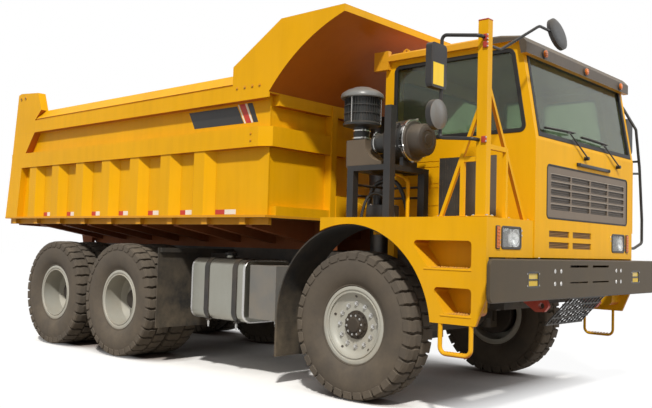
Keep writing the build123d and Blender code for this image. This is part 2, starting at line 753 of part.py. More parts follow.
with BuildPart() as pre_cleaner:
    with BuildSketch(Plane(origin=(pre_x, cleaner_y, 0), x_dir=(1, 0, 0), z_dir=(0, -1, 0))):
        with BuildLine():
            Polyline(*pre_cleaner_section, close=True)
        make_face()
    revolve(axis=Axis((pre_x, cleaner_y, 0), (0, 0, 1)))
pre_cleaner.part.label = "pre_cleaner"
export_step(pre_cleaner.part, "parts/pre_cleaner.step")

with BuildPart() as intake_elbow:
    with BuildSketch(Plane(origin=(0, cleaner_y - 95, 0), x_dir=(1, 0, 0), z_dir=(0, -1, 0))) as duct:
        with BuildLine():
            Line((pre_x - 130, elbow_z[1]), (pre_x - 130, elbow_z[0] + 40))
            ThreePointArc((pre_x - 130, elbow_z[0] + 40), (pre_x - 118, elbow_z[0] + 12),
                          (pre_x - 90, elbow_z[0]))
            Line((pre_x - 90, elbow_z[0]), (pre_x + 320, elbow_z[0]))
            Line((pre_x + 320, elbow_z[0]), (pre_x + 320, elbow_z[0] + 60))
            ThreePointArc((pre_x + 320, elbow_z[0] + 60), (pre_x + 175, elbow_z[0] + 125),
                          (pre_x + 125, elbow_z[1]))
            Line((pre_x + 125, elbow_z[1]), (pre_x - 130, elbow_z[1]))
        make_face()
    extrude(amount=-190)
    fillet(intake_elbow.edges().filter_by(Axis.X).group_by(Axis.Z)[0], 40)
intake_elbow.part.label = "intake_elbow"
export_step(intake_elbow.part, "parts/intake_elbow.step")

cleaner_x = (at(196), at(450))
cleaner_z = 2390
cleaner_radius = 190

rear_x, front_x = cleaner_x
cleaner_section = [  # (x, radius): inlet, body with its clamp ring, end cap
    (rear_x - 205, 0), (rear_x - 205, 95), (rear_x, 95), (rear_x, cleaner_radius - 14),
    (rear_x + 14, cleaner_radius), (front_x - 44, cleaner_radius),
    (front_x - 44, cleaner_radius + 10), (front_x - 14, cleaner_radius + 10),
    (front_x - 14, cleaner_radius - 4), (front_x, cleaner_radius - 18),
    (front_x, cleaner_radius - 40), (front_x + 110, cleaner_radius - 40),
    (front_x + 140, cleaner_radius - 70), (front_x + 140, 0),
]

with BuildPart() as air_cleaner:
    axis_plane = Plane(origin=(0, cleaner_y, cleaner_z), x_dir=(1, 0, 0), z_dir=(0, -1, 0))
    with BuildSketch(axis_plane) as section:
        with BuildLine():
            Polyline(*cleaner_section, close=True)
        make_face()
    revolve(section.sketch, axis=Axis((0, cleaner_y, cleaner_z), (1, 0, 0)))
air_cleaner.part.label = "air_cleaner"
export_step(air_cleaner.part, "parts/air_cleaner.step")

stand_x = (at(-53), at(370))
stand_y = (-1390, -860)
stand_half = 37
shelf_z = (2100, elbow_z[0] - 0.5)

with BuildPart() as deck_stands:
    for x in stand_x:
        for y in stand_y:
            tall = x == stand_x[1] and y == stand_y[0]
            block((x - stand_half, x + stand_half), (y - stand_half, y + stand_half),
                  (deck_z, 2680 if tall else shelf_z[0] + 1))
        block((x - stand_half, x + stand_half), stand_y, shelf_z)
    for y in stand_y:
        block((stand_x[0] - stand_half, stand_x[1] + stand_half), (y - stand_half, y + stand_half),
              shelf_z)
    # saddles under the air cleaner
    saddle_x = (cleaner_x[0] + 30, stand_x[1])
    for x in saddle_x:
        block((x - 25, x + 25), stand_y, shelf_z)
        block((x - 20, x + 20), (cleaner_y - 110, cleaner_y + 110), (shelf_z[1] - 1, cleaner_z - 130))
    rod((cleaner_x[0], cleaner_y, cleaner_z), (cleaner_x[1], cleaner_y, cleaner_z),
        cleaner_radius + 0.1, mode=Mode.SUBTRACT)
deck_stands.part.label = "deck_stands"
export_step(deck_stands.part, "parts/deck_stands.step")

# ---------------------------------------------------------------- handrails
post_x, post_y = (at(1320), at(1412)), (-1485, -1415)
post_top_z = 3265

with BuildPart() as handrails:
    middle_x, middle_y = (post_x[0] + post_x[1]) / 2, (post_y[0] + post_y[1]) / 2
    low = deck_z - 40
    block(post_x, post_y, (deck_z, post_top_z))
    # stays and rails, to the rear and across: (start, end, width, height)
    for start, end, width, height in (
        ((middle_x, middle_y, 2660), (at(960), middle_y, low), 30, 30),
        ((middle_x, middle_y, 2850), (middle_x, -755, low), 30, 30),
        ((at(1178), middle_y, 2155), (at(1178), middle_y, low), 34, 34),
        ((at(1178), middle_y, 2140), (middle_x, middle_y, 2140), 30, 40),
        ((middle_x, -1095, 2260), (middle_x, -1095, low), 34, 34),
        ((middle_x, -1095, 2245), (middle_x, middle_y, 2245), 30, 40),
    ):
        bar(start, end, width, height)
    block((at(850), at(1430)), (post_y[0] - 20, -650), (low - 60, deck_z), mode=Mode.SUBTRACT)
    # bent grab pipe beside the cab
    tube_run([(at(261), -950, deck_z), (at(261), -950, 2050), (at(120), -950, 2110)], 19, 80)
handrails.part.label = "handrails"
export_step(handrails.part, "parts/handrails.step")

# ---------------------------------------------------------------- cab
screen_top_x = cab_front_x - pillar_lean
door_x = (at(330), at(1225))
door_z = (cab_floor_z + 75, 3195)


def pillar_x(z, inset=0):
    """X of the windscreen's plane at a height, moved back by inset."""
    if z <= cab_belt_z:
        return cab_front_x - inset
    return cab_front_x - inset - pillar_lean * (z - cab_belt_z) / (cab_top_z - cab_belt_z)


def door_outline(grow=0):
    """Door leaf seen from the side, grown all round."""
    low, high = door_z[0] - grow, door_z[1] + grow
    front = door_x[1] + grow
    lean = pillar_lean * (high - cab_belt_z) / (cab_top_z - cab_belt_z)
    return [(door_x[0] - grow, low), (front, low), (front, cab_belt_z), (front - lean, high),
            (door_x[0] - grow, high)]


def window_outline(rear, front, low, high):
    """Side window whose front edge follows the leaning pillar."""
    lean = pillar_lean * (high - low) / (cab_top_z - cab_belt_z)
    return [(rear, low), (front, low), (front - lean, high), (rear, high)]


right_window = window_outline(at(-90), at(1350), 2465, 3210)
left_quarter = [(at(-90), 2465), (at(270), 2465), (at(270), 3180), (at(-90), 3180)]
door_window = window_outline(at(400), at(1150), 2470, 3120)
window_corner = 60
rear_window_y = (cab_right_y + 250, cab_left_y - 250)
rear_window_z = (2500, 3120)
screen_z = (2430, 3180)
screen_y = (cab_right_y + 70, cab_left_y - 70)
grille_y = (-500, 1335)
grille_z = (1705, 2184)
grille_depth = 22
grille_corner = 40
vent_z = ((1437, 1494), (1539, 1595))
vent_y = ((-448, -40), (35, 447))
grille_slots = (4, 5)  # across and up
grille_margin = 70
slot_share = 0.86  # of its cell that a slot fills
# louvred panels on the cab's right side
louvre_panels = {"rear": (at(456), at(700)), "front": (at(740), at(1070))}
louvre_z = (1715, 2265)
louvre_slats = 11
crease_x = (at(-100), at(450))
crease_heights = (1812, 1984, 2023, 2183, 2236)  # pressed grooves behind the louvres
crease = 9

with BuildPart() as cab_shell:
    outer = [(cab_rear_x, cab_floor_z), (cab_front_x - 70, cab_floor_z),
             (cab_front_x - 70, bumper_z[1] + 12), (cab_front_x, bumper_z[1] + 12),
             (cab_front_x, cab_belt_z), (screen_top_x, cab_top_z), (cab_rear_x, cab_top_z)]
    plate_along_y(outer, (cab_right_y, cab_left_y))
    # the skirt's end leaves room for the left wing
    block((cab_front_x - 75, cab_front_x + 5), (side_y - wing_plate - 2, cab_left_y + 5),
          (1300, cab_floor_z), mode=Mode.SUBTRACT)
    low, high = cab_floor_z + cab_wall, cab_top_z + 1
    room = [(cab_rear_x + cab_wall, low), (cab_front_x - cab_wall, low),
            (cab_front_x - cab_wall, cab_belt_z),
            (pillar_x(high, cab_wall), high), (cab_rear_x + cab_wall, high)]
    plate_along_y(room, (cab_right_y + cab_wall, cab_left_y - cab_wall), mode=Mode.SUBTRACT)
    # windows and the door opening
    plate_along_y(right_window, (cab_right_y - 5, cab_right_y + cab_wall + 5),
                  mode=Mode.SUBTRACT, corner=window_corner)
    plate_along_y(left_quarter, (cab_left_y - cab_wall - 5, cab_left_y + 5),
                  mode=Mode.SUBTRACT, corner=window_corner)
    plate_along_y(door_outline(panel_gap), (cab_left_y - cab_wall - 5, cab_left_y + 5),
                  mode=Mode.SUBTRACT)
    screen = [(pillar_x(screen_z[0], 90), screen_z[0]), (pillar_x(screen_z[0], -20), screen_z[0]),
              (pillar_x(screen_z[1], -20), screen_z[1]), (pillar_x(screen_z[1], 90), screen_z[1])]
    plate_along_y(screen, screen_y, mode=Mode.SUBTRACT)
    panel_facing_x((cab_rear_x - 5, cab_rear_x + cab_wall + 5), rear_window_y, rear_window_z,
                   window_corner, mode=Mode.SUBTRACT)
    # seats of the grille, the vents, the lamp and the side louvre
    panel_facing_x((cab_front_x - grille_depth, cab_front_x + 5), grille_y, grille_z,
                   grille_corner, mode=Mode.SUBTRACT)
    for y in vent_y:
        for z in vent_z:
            block((cab_front_x - 25, cab_front_x + 5), y, z, mode=Mode.SUBTRACT)
    block((cab_front_x - 50, cab_front_x + 5), lamp_y, lamp_z, mode=Mode.SUBTRACT)
    for x in louvre_panels.values():
        block(x, (cab_right_y - 5, cab_right_y + 25), louvre_z, mode=Mode.SUBTRACT)
    for z in crease_heights:
        block(crease_x, (cab_right_y - 5, cab_right_y + crease / 2), (z - crease / 2, z + crease / 2),
              mode=Mode.SUBTRACT)
    # feet on the frame
    for x in (at(0), at(1250)):
        for side in (1, -1):
            block((x - 60, x + 60), (side * (rail_outer_y - 90), side * (rail_outer_y - 5)),
                  (rail_top_z, cab_floor_z + 1))
cab_shell.part.label = "cab_shell"
export_step(cab_shell.part, "parts/cab_shell.step")

visor_front_x, visor_z = at(1372), (3147, 3245)
roof_top_z = 3342

with BuildPart() as cab_roof:
    roof = [(cab_rear_x - 20, cab_top_z), (screen_top_x + 1, cab_top_z),
            (pillar_x(visor_z[0]) + 2, visor_z[0]), (visor_front_x, visor_z[0]),
            (visor_front_x, visor_z[1]), (visor_front_x - 55, 3306), (at(1110), roof_top_z - 6),
            (at(900), roof_top_z), (cab_rear_x + 100, roof_top_z), (cab_rear_x - 20, 3305)]
    plate_along_y(roof, (cab_right_y - 50, cab_left_y + 50))
    ends = cab_roof.faces().filter_by(Axis.Y).edges().filter_by(lambda edge: edge.center().Z > 3290)
    chamfer(ends, 16)
    # a box and a lifting eye at the rear right corner
    block((at(-330), at(-150)), (cab_right_y - 49, cab_right_y), (cab_top_z - 80, roof_top_z + 38))
    plate_along_y([(at(-25), roof_top_z - 10), (at(75), roof_top_z - 10), (at(60), roof_top_z + 30),
                   (at(25), roof_top_z + 48), (at(-10), roof_top_z + 30)],
                  (cab_right_y + 14, cab_right_y + 26))
    rod((at(25), cab_right_y, roof_top_z + 20), (at(25), cab_right_y + 40, roof_top_z + 20), 13,
        mode=Mode.SUBTRACT)
cab_roof.part.label = "cab_roof"
export_step(cab_roof.part, "parts/cab_roof.step")

glass = 8
with BuildPart() as cab_glass:
    plate_along_y(right_window, (cab_right_y + 18, cab_right_y + 18 + glass), corner=window_corner)
    plate_along_y(left_quarter, (cab_left_y - 18 - glass, cab_left_y - 18), corner=window_corner)
    pane = [(pillar_x(screen_z[0], 26), screen_z[0]), (pillar_x(screen_z[0], 16), screen_z[0]),
            (pillar_x(screen_z[1], 16), screen_z[1]), (pillar_x(screen_z[1], 26), screen_z[1])]
    plate_along_y(pane, screen_y)
    panel_facing_x((cab_rear_x + 18, cab_rear_x + 18 + glass), rear_window_y, rear_window_z,
                   window_corner)
cab_glass.part.label = "cab_glass"
export_step(cab_glass.part, "parts/cab_glass.step")

with BuildPart() as cab_door:
    plate_along_y(door_outline(), (cab_left_y - cab_wall, cab_left_y))
    plate_along_y(door_window, (cab_left_y - cab_wall - 5, cab_left_y + 5), mode=Mode.SUBTRACT,
                  corner=window_corner)
cab_door.part.label = "cab_door"
export_step(cab_door.part, "parts/cab_door.step")

with BuildPart() as door_glass:
    plate_along_y(door_window, (cab_left_y - 18 - glass, cab_left_y - 18), corner=window_corner)
door_glass.part.label = "door_glass"
export_step(door_glass.part, "parts/door_glass.step")

with BuildPart() as grilles:
    panel_facing_x((cab_front_x - grille_depth, cab_front_x - 2), grille_y, grille_z, grille_corner)
    cell_y = (grille_y[1] - grille_y[0] - 2 * grille_margin) / grille_slots[0]
    cell_z = (grille_z[1] - grille_z[0] - 2 * grille_margin) / grille_slots[1]
    face = Plane.YZ.offset(cab_front_x - 2).shift_origin(
        (cab_front_x - 2, sum(grille_y) / 2, sum(grille_z) / 2))
    with BuildSketch(face) as slots:
        with GridLocations(cell_y, cell_z, *grille_slots):
            RectangleRounded(cell_y * (slot_share + 0.08), cell_z * slot_share - 12, 14)
    extrude(slots.sketch, amount=-13, mode=Mode.SUBTRACT)
    # louvres: a back sheet and sloping slats between its edges
    pitch = (louvre_z[1] - louvre_z[0] - 50) / louvre_slats
    for x in louvre_panels.values():
        block(x, (cab_right_y + 17, cab_right_y + 25), louvre_z)
        block(x, (cab_right_y + 2, cab_right_y + 18), louvre_z)
        block((x[0] + 22, x[1] - 22), (cab_right_y + 1, cab_right_y + 17),
              (louvre_z[0] + 25, louvre_z[1] - 25), mode=Mode.SUBTRACT)
        for slat in range(louvre_slats):
            foot = louvre_z[0] + 25 + slat * pitch
            slope = [(cab_right_y + 3, foot + 4), (cab_right_y + 18, foot + pitch * 0.62),
                     (cab_right_y + 18, foot + pitch * 0.62 + 6), (cab_right_y + 3, foot + 10)]
            plate_along_x(slope, (x[0] + 21, x[1] - 21))
grilles.part.label = "grilles"
export_step(grilles.part, "parts/grilles.step")

# ---------------------------------------------------------------- lamps
with BuildPart() as headlamps:
    block((wing_front_x - wing_plate, wing_front_x + 8), (-lamp_y[1], -lamp_y[0]), lamp_z)
    block((cab_front_x - 50, cab_front_x + 8), lamp_y, lamp_z)
headlamps.part.label = "headlamps"
export_step(headlamps.part, "parts/headlamps.step")

marker_y, marker_z, marker_radius = (-430, 450, 1310), 3196, 34
with BuildPart() as orange_lamps:
    block((wing_front_x, wing_front_x + 14), (-indicator_y[1], -indicator_y[0]), lamp_z)
    block((cab_front_x, cab_front_x + 14), indicator_y, lamp_z)
    for y in marker_y:
        rod((visor_front_x, y, marker_z), (visor_front_x + 22, y, marker_z), marker_radius)
orange_lamps.part.label = "orange_lamps"
export_step(orange_lamps.part, "parts/orange_lamps.step")

with BuildPart() as fog_lamps:
    for side in (1, -1):
        block((nose_x - 26, nose_x - 8), (side * fog_y - 86, side * fog_y + 86),
              (fog_z - 55, fog_z + 55))
        block((nose_x - 65, nose_x - 25), (side * fog_y - 105, side * fog_y + 105),
              (fog_z - 72, fog_z + 72))
fog_lamps.part.label = "fog_lamps"
export_step(fog_lamps.part, "parts/fog_lamps.step")

with BuildPart() as tail_lamps:
    for side in (1, -1):
        block((rail_rear_x - 60, rail_rear_x), (side * 300, side * rail_outer_y), (1110, 1230))
tail_lamps.part.label = "tail_lamps"
export_step(tail_lamps.part, "parts/tail_lamps.step")

# ---------------------------------------------------------------- mirrors
mirror_tube = 15
right_arm_y = -1520
left_arm_x = at(1450)

with BuildPart() as mirrors:
    # right: a tube from the post, back and down to a clamp on the post
    tube_run([(post_x[1] - 30, post_y[0], 3120), (post_x[1] - 30, right_arm_y - 40, 3120),
              (at(1020), right_arm_y - 40, 3180), (at(1020), right_arm_y - 40, 2320),
              (post_x[0] + 20, right_arm_y - 40, 2290), (post_x[0] + 20, post_y[0], 2290)],
             mirror_tube, 40)
    panel_facing_x((at(983), at(1043)), (right_arm_y - 215, right_arm_y + 5), (2720, 3090), 36)
    rod((at(995), right_arm_y - 100, 2505), (at(1045), right_arm_y - 100, 2505), 125)
    # right: a round mirror that looks down over the nose
    tube_run([(post_x[1] - 12, post_y[1], 3060), (post_x[1] - 12, post_y[1] + 150, 3060),
              (at(1584), -950, 3301), (at(1584), -760, 3301)], 12, 60)
    rod((at(1568), -620, 3297), (at(1600), -620, 3306), 145)
    # left: a tube that leans outwards beside the windscreen
    tube_run([(at(1300), cab_left_y, 3030), (at(1300), 1560, 3030), (left_arm_x, 1580, 2760),
              (left_arm_x, 1690, 2360), (left_arm_x, 1770, 1790), (left_arm_x, 1770, 1530),
              (at(1412), 1640, 1470), (at(1412), side_y, 1470)], mirror_tube, 45)
    tube_run([(left_arm_x, 1699, 2290), (at(1330), 1640, 2290), (at(1330), cab_left_y, 2290)], 12, 30)
    panel_facing_x((at(1290), at(1352)), (1560, 1740), (2510, 2890), 40)
    tube_run([(at(1320), 1660, 2530), (at(1320), 1660, 2420), (left_arm_x, 1666, 2420)], 12, 30)
mirrors.part.label = "mirrors"
export_step(mirrors.part, "parts/mirrors.step")

# ---------------------------------------------------------------- inside the cab
floor_z = cab_floor_z + cab_wall
seat_x, seat_y = at(520), 960

with BuildPart() as driver_seat:
    block((seat_x - 170, seat_x + 170), (seat_y - 170, seat_y + 170), (floor_z, floor_z + 330))
    block((seat_x - 270, seat_x + 270), (seat_y - 260, seat_y + 260), (floor_z + 330, floor_z + 460))
    plate_along_y([(seat_x - 270, floor_z + 400), (seat_x - 150, floor_z + 460),
                   (seat_x - 240, floor_z + 1130), (seat_x - 340, floor_z + 1130)],
                  (seat_y - 240, seat_y + 240))
driver_seat.part.label = "driver_seat"
export_step(driver_seat.part, "parts/driver_seat.step")

with BuildPart() as dashboard:
    plate_along_y([(cab_front_x - cab_wall, floor_z), (cab_front_x - cab_wall, cab_belt_z - 5),
                   (at(1120), 2360), (at(1080), 2250), (at(1200), 2100), (at(1240), floor_z)],
                  (cab_right_y + cab_wall, cab_left_y - cab_wall))
    rod((at(1150), seat_y, 2200), (at(900), seat_y, 2440), 28)
    wheel = Plane(origin=(at(890), seat_y, 2450), x_dir=(0, 1, 0), z_dir=(-0.7, 0, 0.72))
    with BuildSketch(wheel) as steering:
        Circle(225)
        Circle(192, mode=Mode.SUBTRACT)
        Rectangle(400, 40)
    extrude(steering.sketch, amount=-26)
dashboard.part.label = "dashboard"
export_step(dashboard.part, "parts/dashboard.step")

# ---------------------------------------------------------------- bed
rib_pitch = 613
rib_first_x = at(-5720)  # front edge of the flat face of the rearmost rib
rib_count = 7
rib_face = 180
rib_slope = 110
rib_y = bed_half_width - 12

floor_under_z = bed_floor_z - 28
bearer_x = [rib_first_x + (index - 1) * rib_pitch for index in range(rib_count + 2)]
bearer_half = 45

with BuildPart() as bed_floor:
    block((bed_tail_x, bed_front_x), (-bed_half_width, bed_half_width), (floor_under_z, bed_seat_z))
    block((bed_tail_x, front_sheet_x - 2), (-sheet_y + 2, sheet_y - 2), (bed_seat_z - 1, bed_floor_z))
    for side in (1, -1):
        # sill, and the bearers' ends outside it
        block((bed_tail_x, bed_front_x - 40), (side * (sheet_y - 20), side * (sheet_y + 20)),
              (floor_under_z - 72, floor_under_z + 1))
        for x in bearer_x:
            block((x - bearer_half, x + bearer_half), (side * (sheet_y + 19), side * (sheet_y + 75)),
                  (floor_under_z - 72, floor_under_z + 1))
bed_floor.part.label = "bed_floor"
export_step(bed_floor.part, "parts/bed_floor.step")

beam_y = (370, 460)

with BuildPart() as bed_underframe:
    for side in (1, -1):
        # behind the hinge the beam rises, so it clears the rails' ends when it tips
        beam = [(bed_tail_x + 60, floor_under_z), (bed_tail_x + 60, floor_under_z - 120),
                (bed_hinge_x - 150, bed_hinge_z + 230), (bed_hinge_x + 60, bed_beam_z),
                (bed_front_x - 60, bed_beam_z), (bed_front_x - 60, floor_under_z)]
        plate_along_y(beam, (side * beam_y[0], side * beam_y[1]))
        for x in bearer_x:
            foot = bed_beam_z + 60 if x > bed_hinge_x else floor_under_z - 120
            plate_along_x([(side * (beam_y[1] - 1), foot),
                           (side * (beam_y[1] - 1), floor_under_z),
                           (side * (sheet_y - 20), floor_under_z),
                           (side * (sheet_y - 20), floor_under_z - 90)],
                          (x - bearer_half, x + bearer_half))
        # hinge ears, which hang from the floor between two bearers, and the pin
        plate_along_y(
            [(bed_hinge_x - 110, bed_hinge_z - 70), (bed_hinge_x + 70, bed_hinge_z - 70),
             (bed_hinge_x + 120, floor_under_z), (bed_hinge_x - 260, floor_under_z)],
            (side * (rail_outer_y + 46), side * (rail_outer_y + 96)))
        rod((bed_hinge_x, side * (rail_outer_y - 60), bed_hinge_z),
            (bed_hinge_x, side * (rail_outer_y + 110), bed_hinge_z), bed_hinge_radius)
    for x in bearer_x:
        block((x - bearer_half, x + bearer_half), (-beam_y[0] - 1, beam_y[0] + 1),
              (floor_under_z - 180, floor_under_z))
bed_underframe.part.label = "bed_underframe"
export_step(bed_underframe.part, "parts/bed_underframe.step")


def rib_outline(front, side):
    """Plan of one side rib: a flat face between two sloping flanks."""
    inner = sheet_y + bed_sheet - 1
    return [(front - rib_face - rib_slope, side * inner), (front - rib_face, side * rib_y),
            (front, side * rib_y), (front + rib_slope, side * inner)]


rail_groove = 14  # between the top rail's face and its slope
cheek_rear_x = at(-1605)
cheek_y = (bed_half_width - bed_sheet, bed_half_width)

wall_top_z = 2927

for side, name in ((1, "left"), (-1, "right")):
    with BuildPart() as bed_side:
        inner, outer = side * sheet_y, side * (sheet_y + bed_sheet)
        # sheet, with the tail leaning forward
        plate_along_y([(bed_tail_x + 5, bed_seat_z), (bed_tail_x + 100, mid_rail_z[0]),
                       (bed_tail_x + 200, bed_top_z), (front_sheet_x, bed_top_z),
                       (front_sheet_x, bed_seat_z)], (inner, outer))
        # middle rail and top rail
        edge = side * bed_half_width
        skin = side * (sheet_y + bed_sheet - 1)
        block((bed_tail_x + 120, bed_front_x - 140), (skin, edge), mid_rail_z)
        low, high = top_rail_z
        groove = edge - side * rail_groove
        plate_along_x([(skin, low), (edge, low), (edge, high - 8), (groove, high - 4),
                       (groove, high + 8), (edge - side * 3, high + 12),
                       (side * (sheet_y + 30), bed_top_z), (skin, bed_top_z)],
                      (bed_tail_x + 260, cheek_rear_x))
        plate_along_x([(skin, top_rail_z[0]), (side * cheek_y[0] - side, top_rail_z[0]),
                       (side * cheek_y[0] - side, top_rail_z[1]),
                       (side * (sheet_y + 30), bed_top_z), (skin, bed_top_z)],
                      (cheek_rear_x, front_sheet_x))
        # ribs
        for index in range(rib_count):
            front = rib_first_x + index * rib_pitch
            with BuildSketch(Plane.XY.offset(bed_seat_z)) as plan:
                with BuildLine():
                    Polyline(*rib_outline(front, side), close=True)
                make_face()
            extrude(plan.sketch, amount=mid_rail_z[0] - bed_seat_z + 1)
        # corner post at the tail
        post = [(bed_tail_x + 3, bed_seat_z), (bed_tail_x + 105, mid_rail_z[0]),
                (bed_tail_x + 240, 3460), (bed_tail_x + 320, 3476), (bed_tail_x + 800, 3440),
                (bed_tail_x + 905, 3190), (bed_tail_x + 745, 3060), (bed_tail_x + 745, 2880),
                (bed_tail_x + 515, mid_rail_z[1]), (bed_tail_x + 420, mid_rail_z[0]),
                (bed_tail_x + 340, bed_seat_z)]
        plate_along_y(post, (inner, side * (bed_half_width - 1)))
        # the last stretch round the front corner
        block((front_sheet_x - 1, bed_front_x - 70), (inner, side * (sheet_y + bed_sheet)),
              (bed_seat_z, wall_top_z))
        with BuildSketch(Plane.XY.offset(mid_rail_z[0])) as corner:
            with BuildLine():
                Polyline((bed_front_x - 141, skin), (bed_front_x - 141, edge),
                         (bed_front_x, side * (bed_half_width - 75)), (bed_front_x, side * corner_y),
                         (bed_front_x - 60, side * corner_y), (bed_front_x - 60, skin), close=True)
            make_face()
        extrude(corner.sketch, amount=mid_rail_z[1] - mid_rail_z[0])
    bed_side.part.label = f"bed_side_{name}"
    export_step(bed_side.part, f"parts/bed_side_{name}.step")

# the front wall: a sheet, two cross rails and two upright stiffeners
stiffener_y = (500, 590)
lug_ear_y = (182, 212)

with BuildPart() as bed_front_wall:
    block((front_sheet_x, front_sheet_x + bed_sheet), (-sheet_y, sheet_y), (bed_seat_z, wall_top_z))
    rail_y = corner_y - 1
    for low, high in (mid_rail_z, (wall_top_z - 110, wall_top_z), (bed_seat_z, bed_seat_z + 94)):
        block((front_sheet_x + bed_sheet - 1, bed_front_x), (-rail_y, rail_y), (low, high))
    for side in (1, -1):
        block((front_sheet_x + bed_sheet - 1, bed_front_x + 12),
              (side * stiffener_y[0], side * stiffener_y[1]), (bed_seat_z, wall_top_z))
    # hoist beam across the foot of the wall
    block((front_sheet_x + bed_sheet - 1, bed_front_x + 20), (-stiffener_y[0] - 1, stiffener_y[0] + 1),
          (bed_seat_z, 1950))
    for side in (1, -1):
        plate_along_y([(bed_front_x + 19, bed_seat_z + 9), (hoist_lug[0] + 60, 1640),
                       (hoist_lug[0] + 75, 1700), (hoist_lug[0] + 60, 1760),
                       (bed_front_x + 19, 1930)],
                      (side * lug_ear_y[0], side * lug_ear_y[1]))
bed_front_wall.part.label = "bed_front_wall"
export_step(bed_front_wall.part, "parts/bed_front_wall.step")

# canopy over the cab: a curved sheet between two cheeks, with a front beam
canopy_front_x = at(-70)
canopy_sheet = 14
# the cheeks' lower edge, from the front to the wall: (x, z) at both ends and between
canopy_edge = [(canopy_front_x, 3585), (at(-560), 3366), (at(-1051), 2940)]

with BuildPart() as bed_canopy:
    (front_x, front_z), middle, (rear_x, rear_z) = canopy_edge
    lift = canopy_sheet * 0.75
    ring_plate([
        (at(-1150), wall_top_z), (rear_x - 4, wall_top_z), (rear_x - 4, rear_z + 2),
        ((middle[0] - 2, middle[1] + 2), (front_x, front_z + 2)),
        (front_x, front_z + 2 + canopy_sheet),
        ((middle[0] - 2 - lift, middle[1] + 2 + lift), (rear_x - 4 - canopy_sheet, rear_z + 2)),
        (at(-1150), rear_z + 2),
    ], (-cheek_y[0], cheek_y[0]))
    for side in (1, -1):
        ring_plate([
            (cheek_rear_x, top_rail_z[0]), (cheek_rear_x, 3256), (at(-903), 3658),
            (front_x, 3655), (front_x, front_z), (middle, (rear_x, rear_z)),
            (rear_x, top_rail_z[0]),
        ], (side * cheek_y[0], side * cheek_y[1]))
    block((canopy_front_x - 60, canopy_front_x), (-cheek_y[0], cheek_y[0]), (front_z + 5, 3655))
bed_canopy.part.label = "bed_canopy"
export_step(bed_canopy.part, "parts/bed_canopy.step")

# ---------------------------------------------------------------- hoist
run = Vector(hoist_lug[0] - hoist_foot[0], 0, hoist_lug[1] - hoist_foot[1])
along = run.normalized()
lug_distance = run.length

# closed tubes: (name, outer radius, foot and top measured from the foot pin)
tubes = [
    ("hoist_rod", 55, 0, 1610),
    ("hoist_stage_inner", 77, 150, 1630),
    ("hoist_stage_outer", 99, 130, 1650),
    ("hoist_cover", 121, 110, 1685),
]
tube_gap = 3
gland = 60


def on_hoist(distance):
    """Point on the hoist's axis, measured from its foot pin."""
    return (hoist_foot[0] + along.X * distance, 0, hoist_foot[1] + along.Z * distance)


for index, (name, radius, foot, top) in enumerate(tubes):
    with BuildPart() as tube:
        rod(on_hoist(foot), on_hoist(top), radius)
        if index:
            inner = tubes[index - 1][1]
            roof = top + 1 if name != "hoist_cover" else top - 22
            rod(on_hoist(foot - 1), on_hoist(foot + gland), inner + running_fit, mode=Mode.SUBTRACT)
            rod(on_hoist(foot + gland), on_hoist(roof), inner + tube_gap, mode=Mode.SUBTRACT)
        if name == "hoist_rod":
            x, z = hoist_foot
            rod((x, -cradle_y[0] + 1, z), (x, cradle_y[0] - 1, z), 60)
            rod((x, -cradle_y[1], z), (x, cradle_y[1], z), foot_pin_radius)
        if name == "hoist_cover":
            lug = on_hoist(lug_distance)
            for side in (1, -1):
                rod((lug[0], side * (radius - 8), lug[2]), (lug[0], side * 176, lug[2]),
                    trunnion_radius)
    tube.part.label = name
    export_step(tube.part, f"parts/{name}.step")
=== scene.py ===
# %% [markdown]
# # A six-wheel mining dump truck
#
# The truck arrives here as a fixed frame: every steel part is already in
# place, to size, in metres. This lesson dresses it. We give each surface a
# finish that looks like the real one, add the small things that a drawing
# leaves out, such as tread, bolts, wipers and treads on the steps, and then
# set up the light and the camera.

from math import cos, pi, radians, sin, tau

import bmesh
import bpy
from mathutils import Matrix, Vector


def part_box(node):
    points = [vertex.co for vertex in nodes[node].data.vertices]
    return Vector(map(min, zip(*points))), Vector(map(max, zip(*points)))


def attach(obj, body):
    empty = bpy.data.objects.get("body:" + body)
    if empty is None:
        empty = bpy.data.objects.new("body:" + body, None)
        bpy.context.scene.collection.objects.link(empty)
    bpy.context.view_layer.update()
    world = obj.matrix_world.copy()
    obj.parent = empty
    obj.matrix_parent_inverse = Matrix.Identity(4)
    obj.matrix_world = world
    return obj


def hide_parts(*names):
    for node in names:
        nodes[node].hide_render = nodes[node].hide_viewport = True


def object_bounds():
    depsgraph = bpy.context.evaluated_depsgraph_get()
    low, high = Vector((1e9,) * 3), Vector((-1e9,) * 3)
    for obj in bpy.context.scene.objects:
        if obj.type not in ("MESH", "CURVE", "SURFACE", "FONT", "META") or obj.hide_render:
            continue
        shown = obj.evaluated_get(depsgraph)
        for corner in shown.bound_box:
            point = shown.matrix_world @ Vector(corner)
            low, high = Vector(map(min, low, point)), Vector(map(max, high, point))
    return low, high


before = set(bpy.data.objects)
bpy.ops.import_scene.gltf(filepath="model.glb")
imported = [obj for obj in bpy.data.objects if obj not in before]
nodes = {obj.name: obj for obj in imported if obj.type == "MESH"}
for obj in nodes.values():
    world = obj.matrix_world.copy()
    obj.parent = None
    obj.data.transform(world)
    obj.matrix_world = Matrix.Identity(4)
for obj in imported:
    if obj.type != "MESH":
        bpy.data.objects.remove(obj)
cad_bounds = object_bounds()

# %% [markdown]
# The drawing's own boxes tell us where things are. We read the front axle's
# place from the middle of a front tyre, and then every other place can be
# said as a distance ahead of that axle, as a truck builder would.

# %% Places
def box_of(node):
    """The low and the high corner of a drawn piece."""
    return [Vector(corner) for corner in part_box(node)]


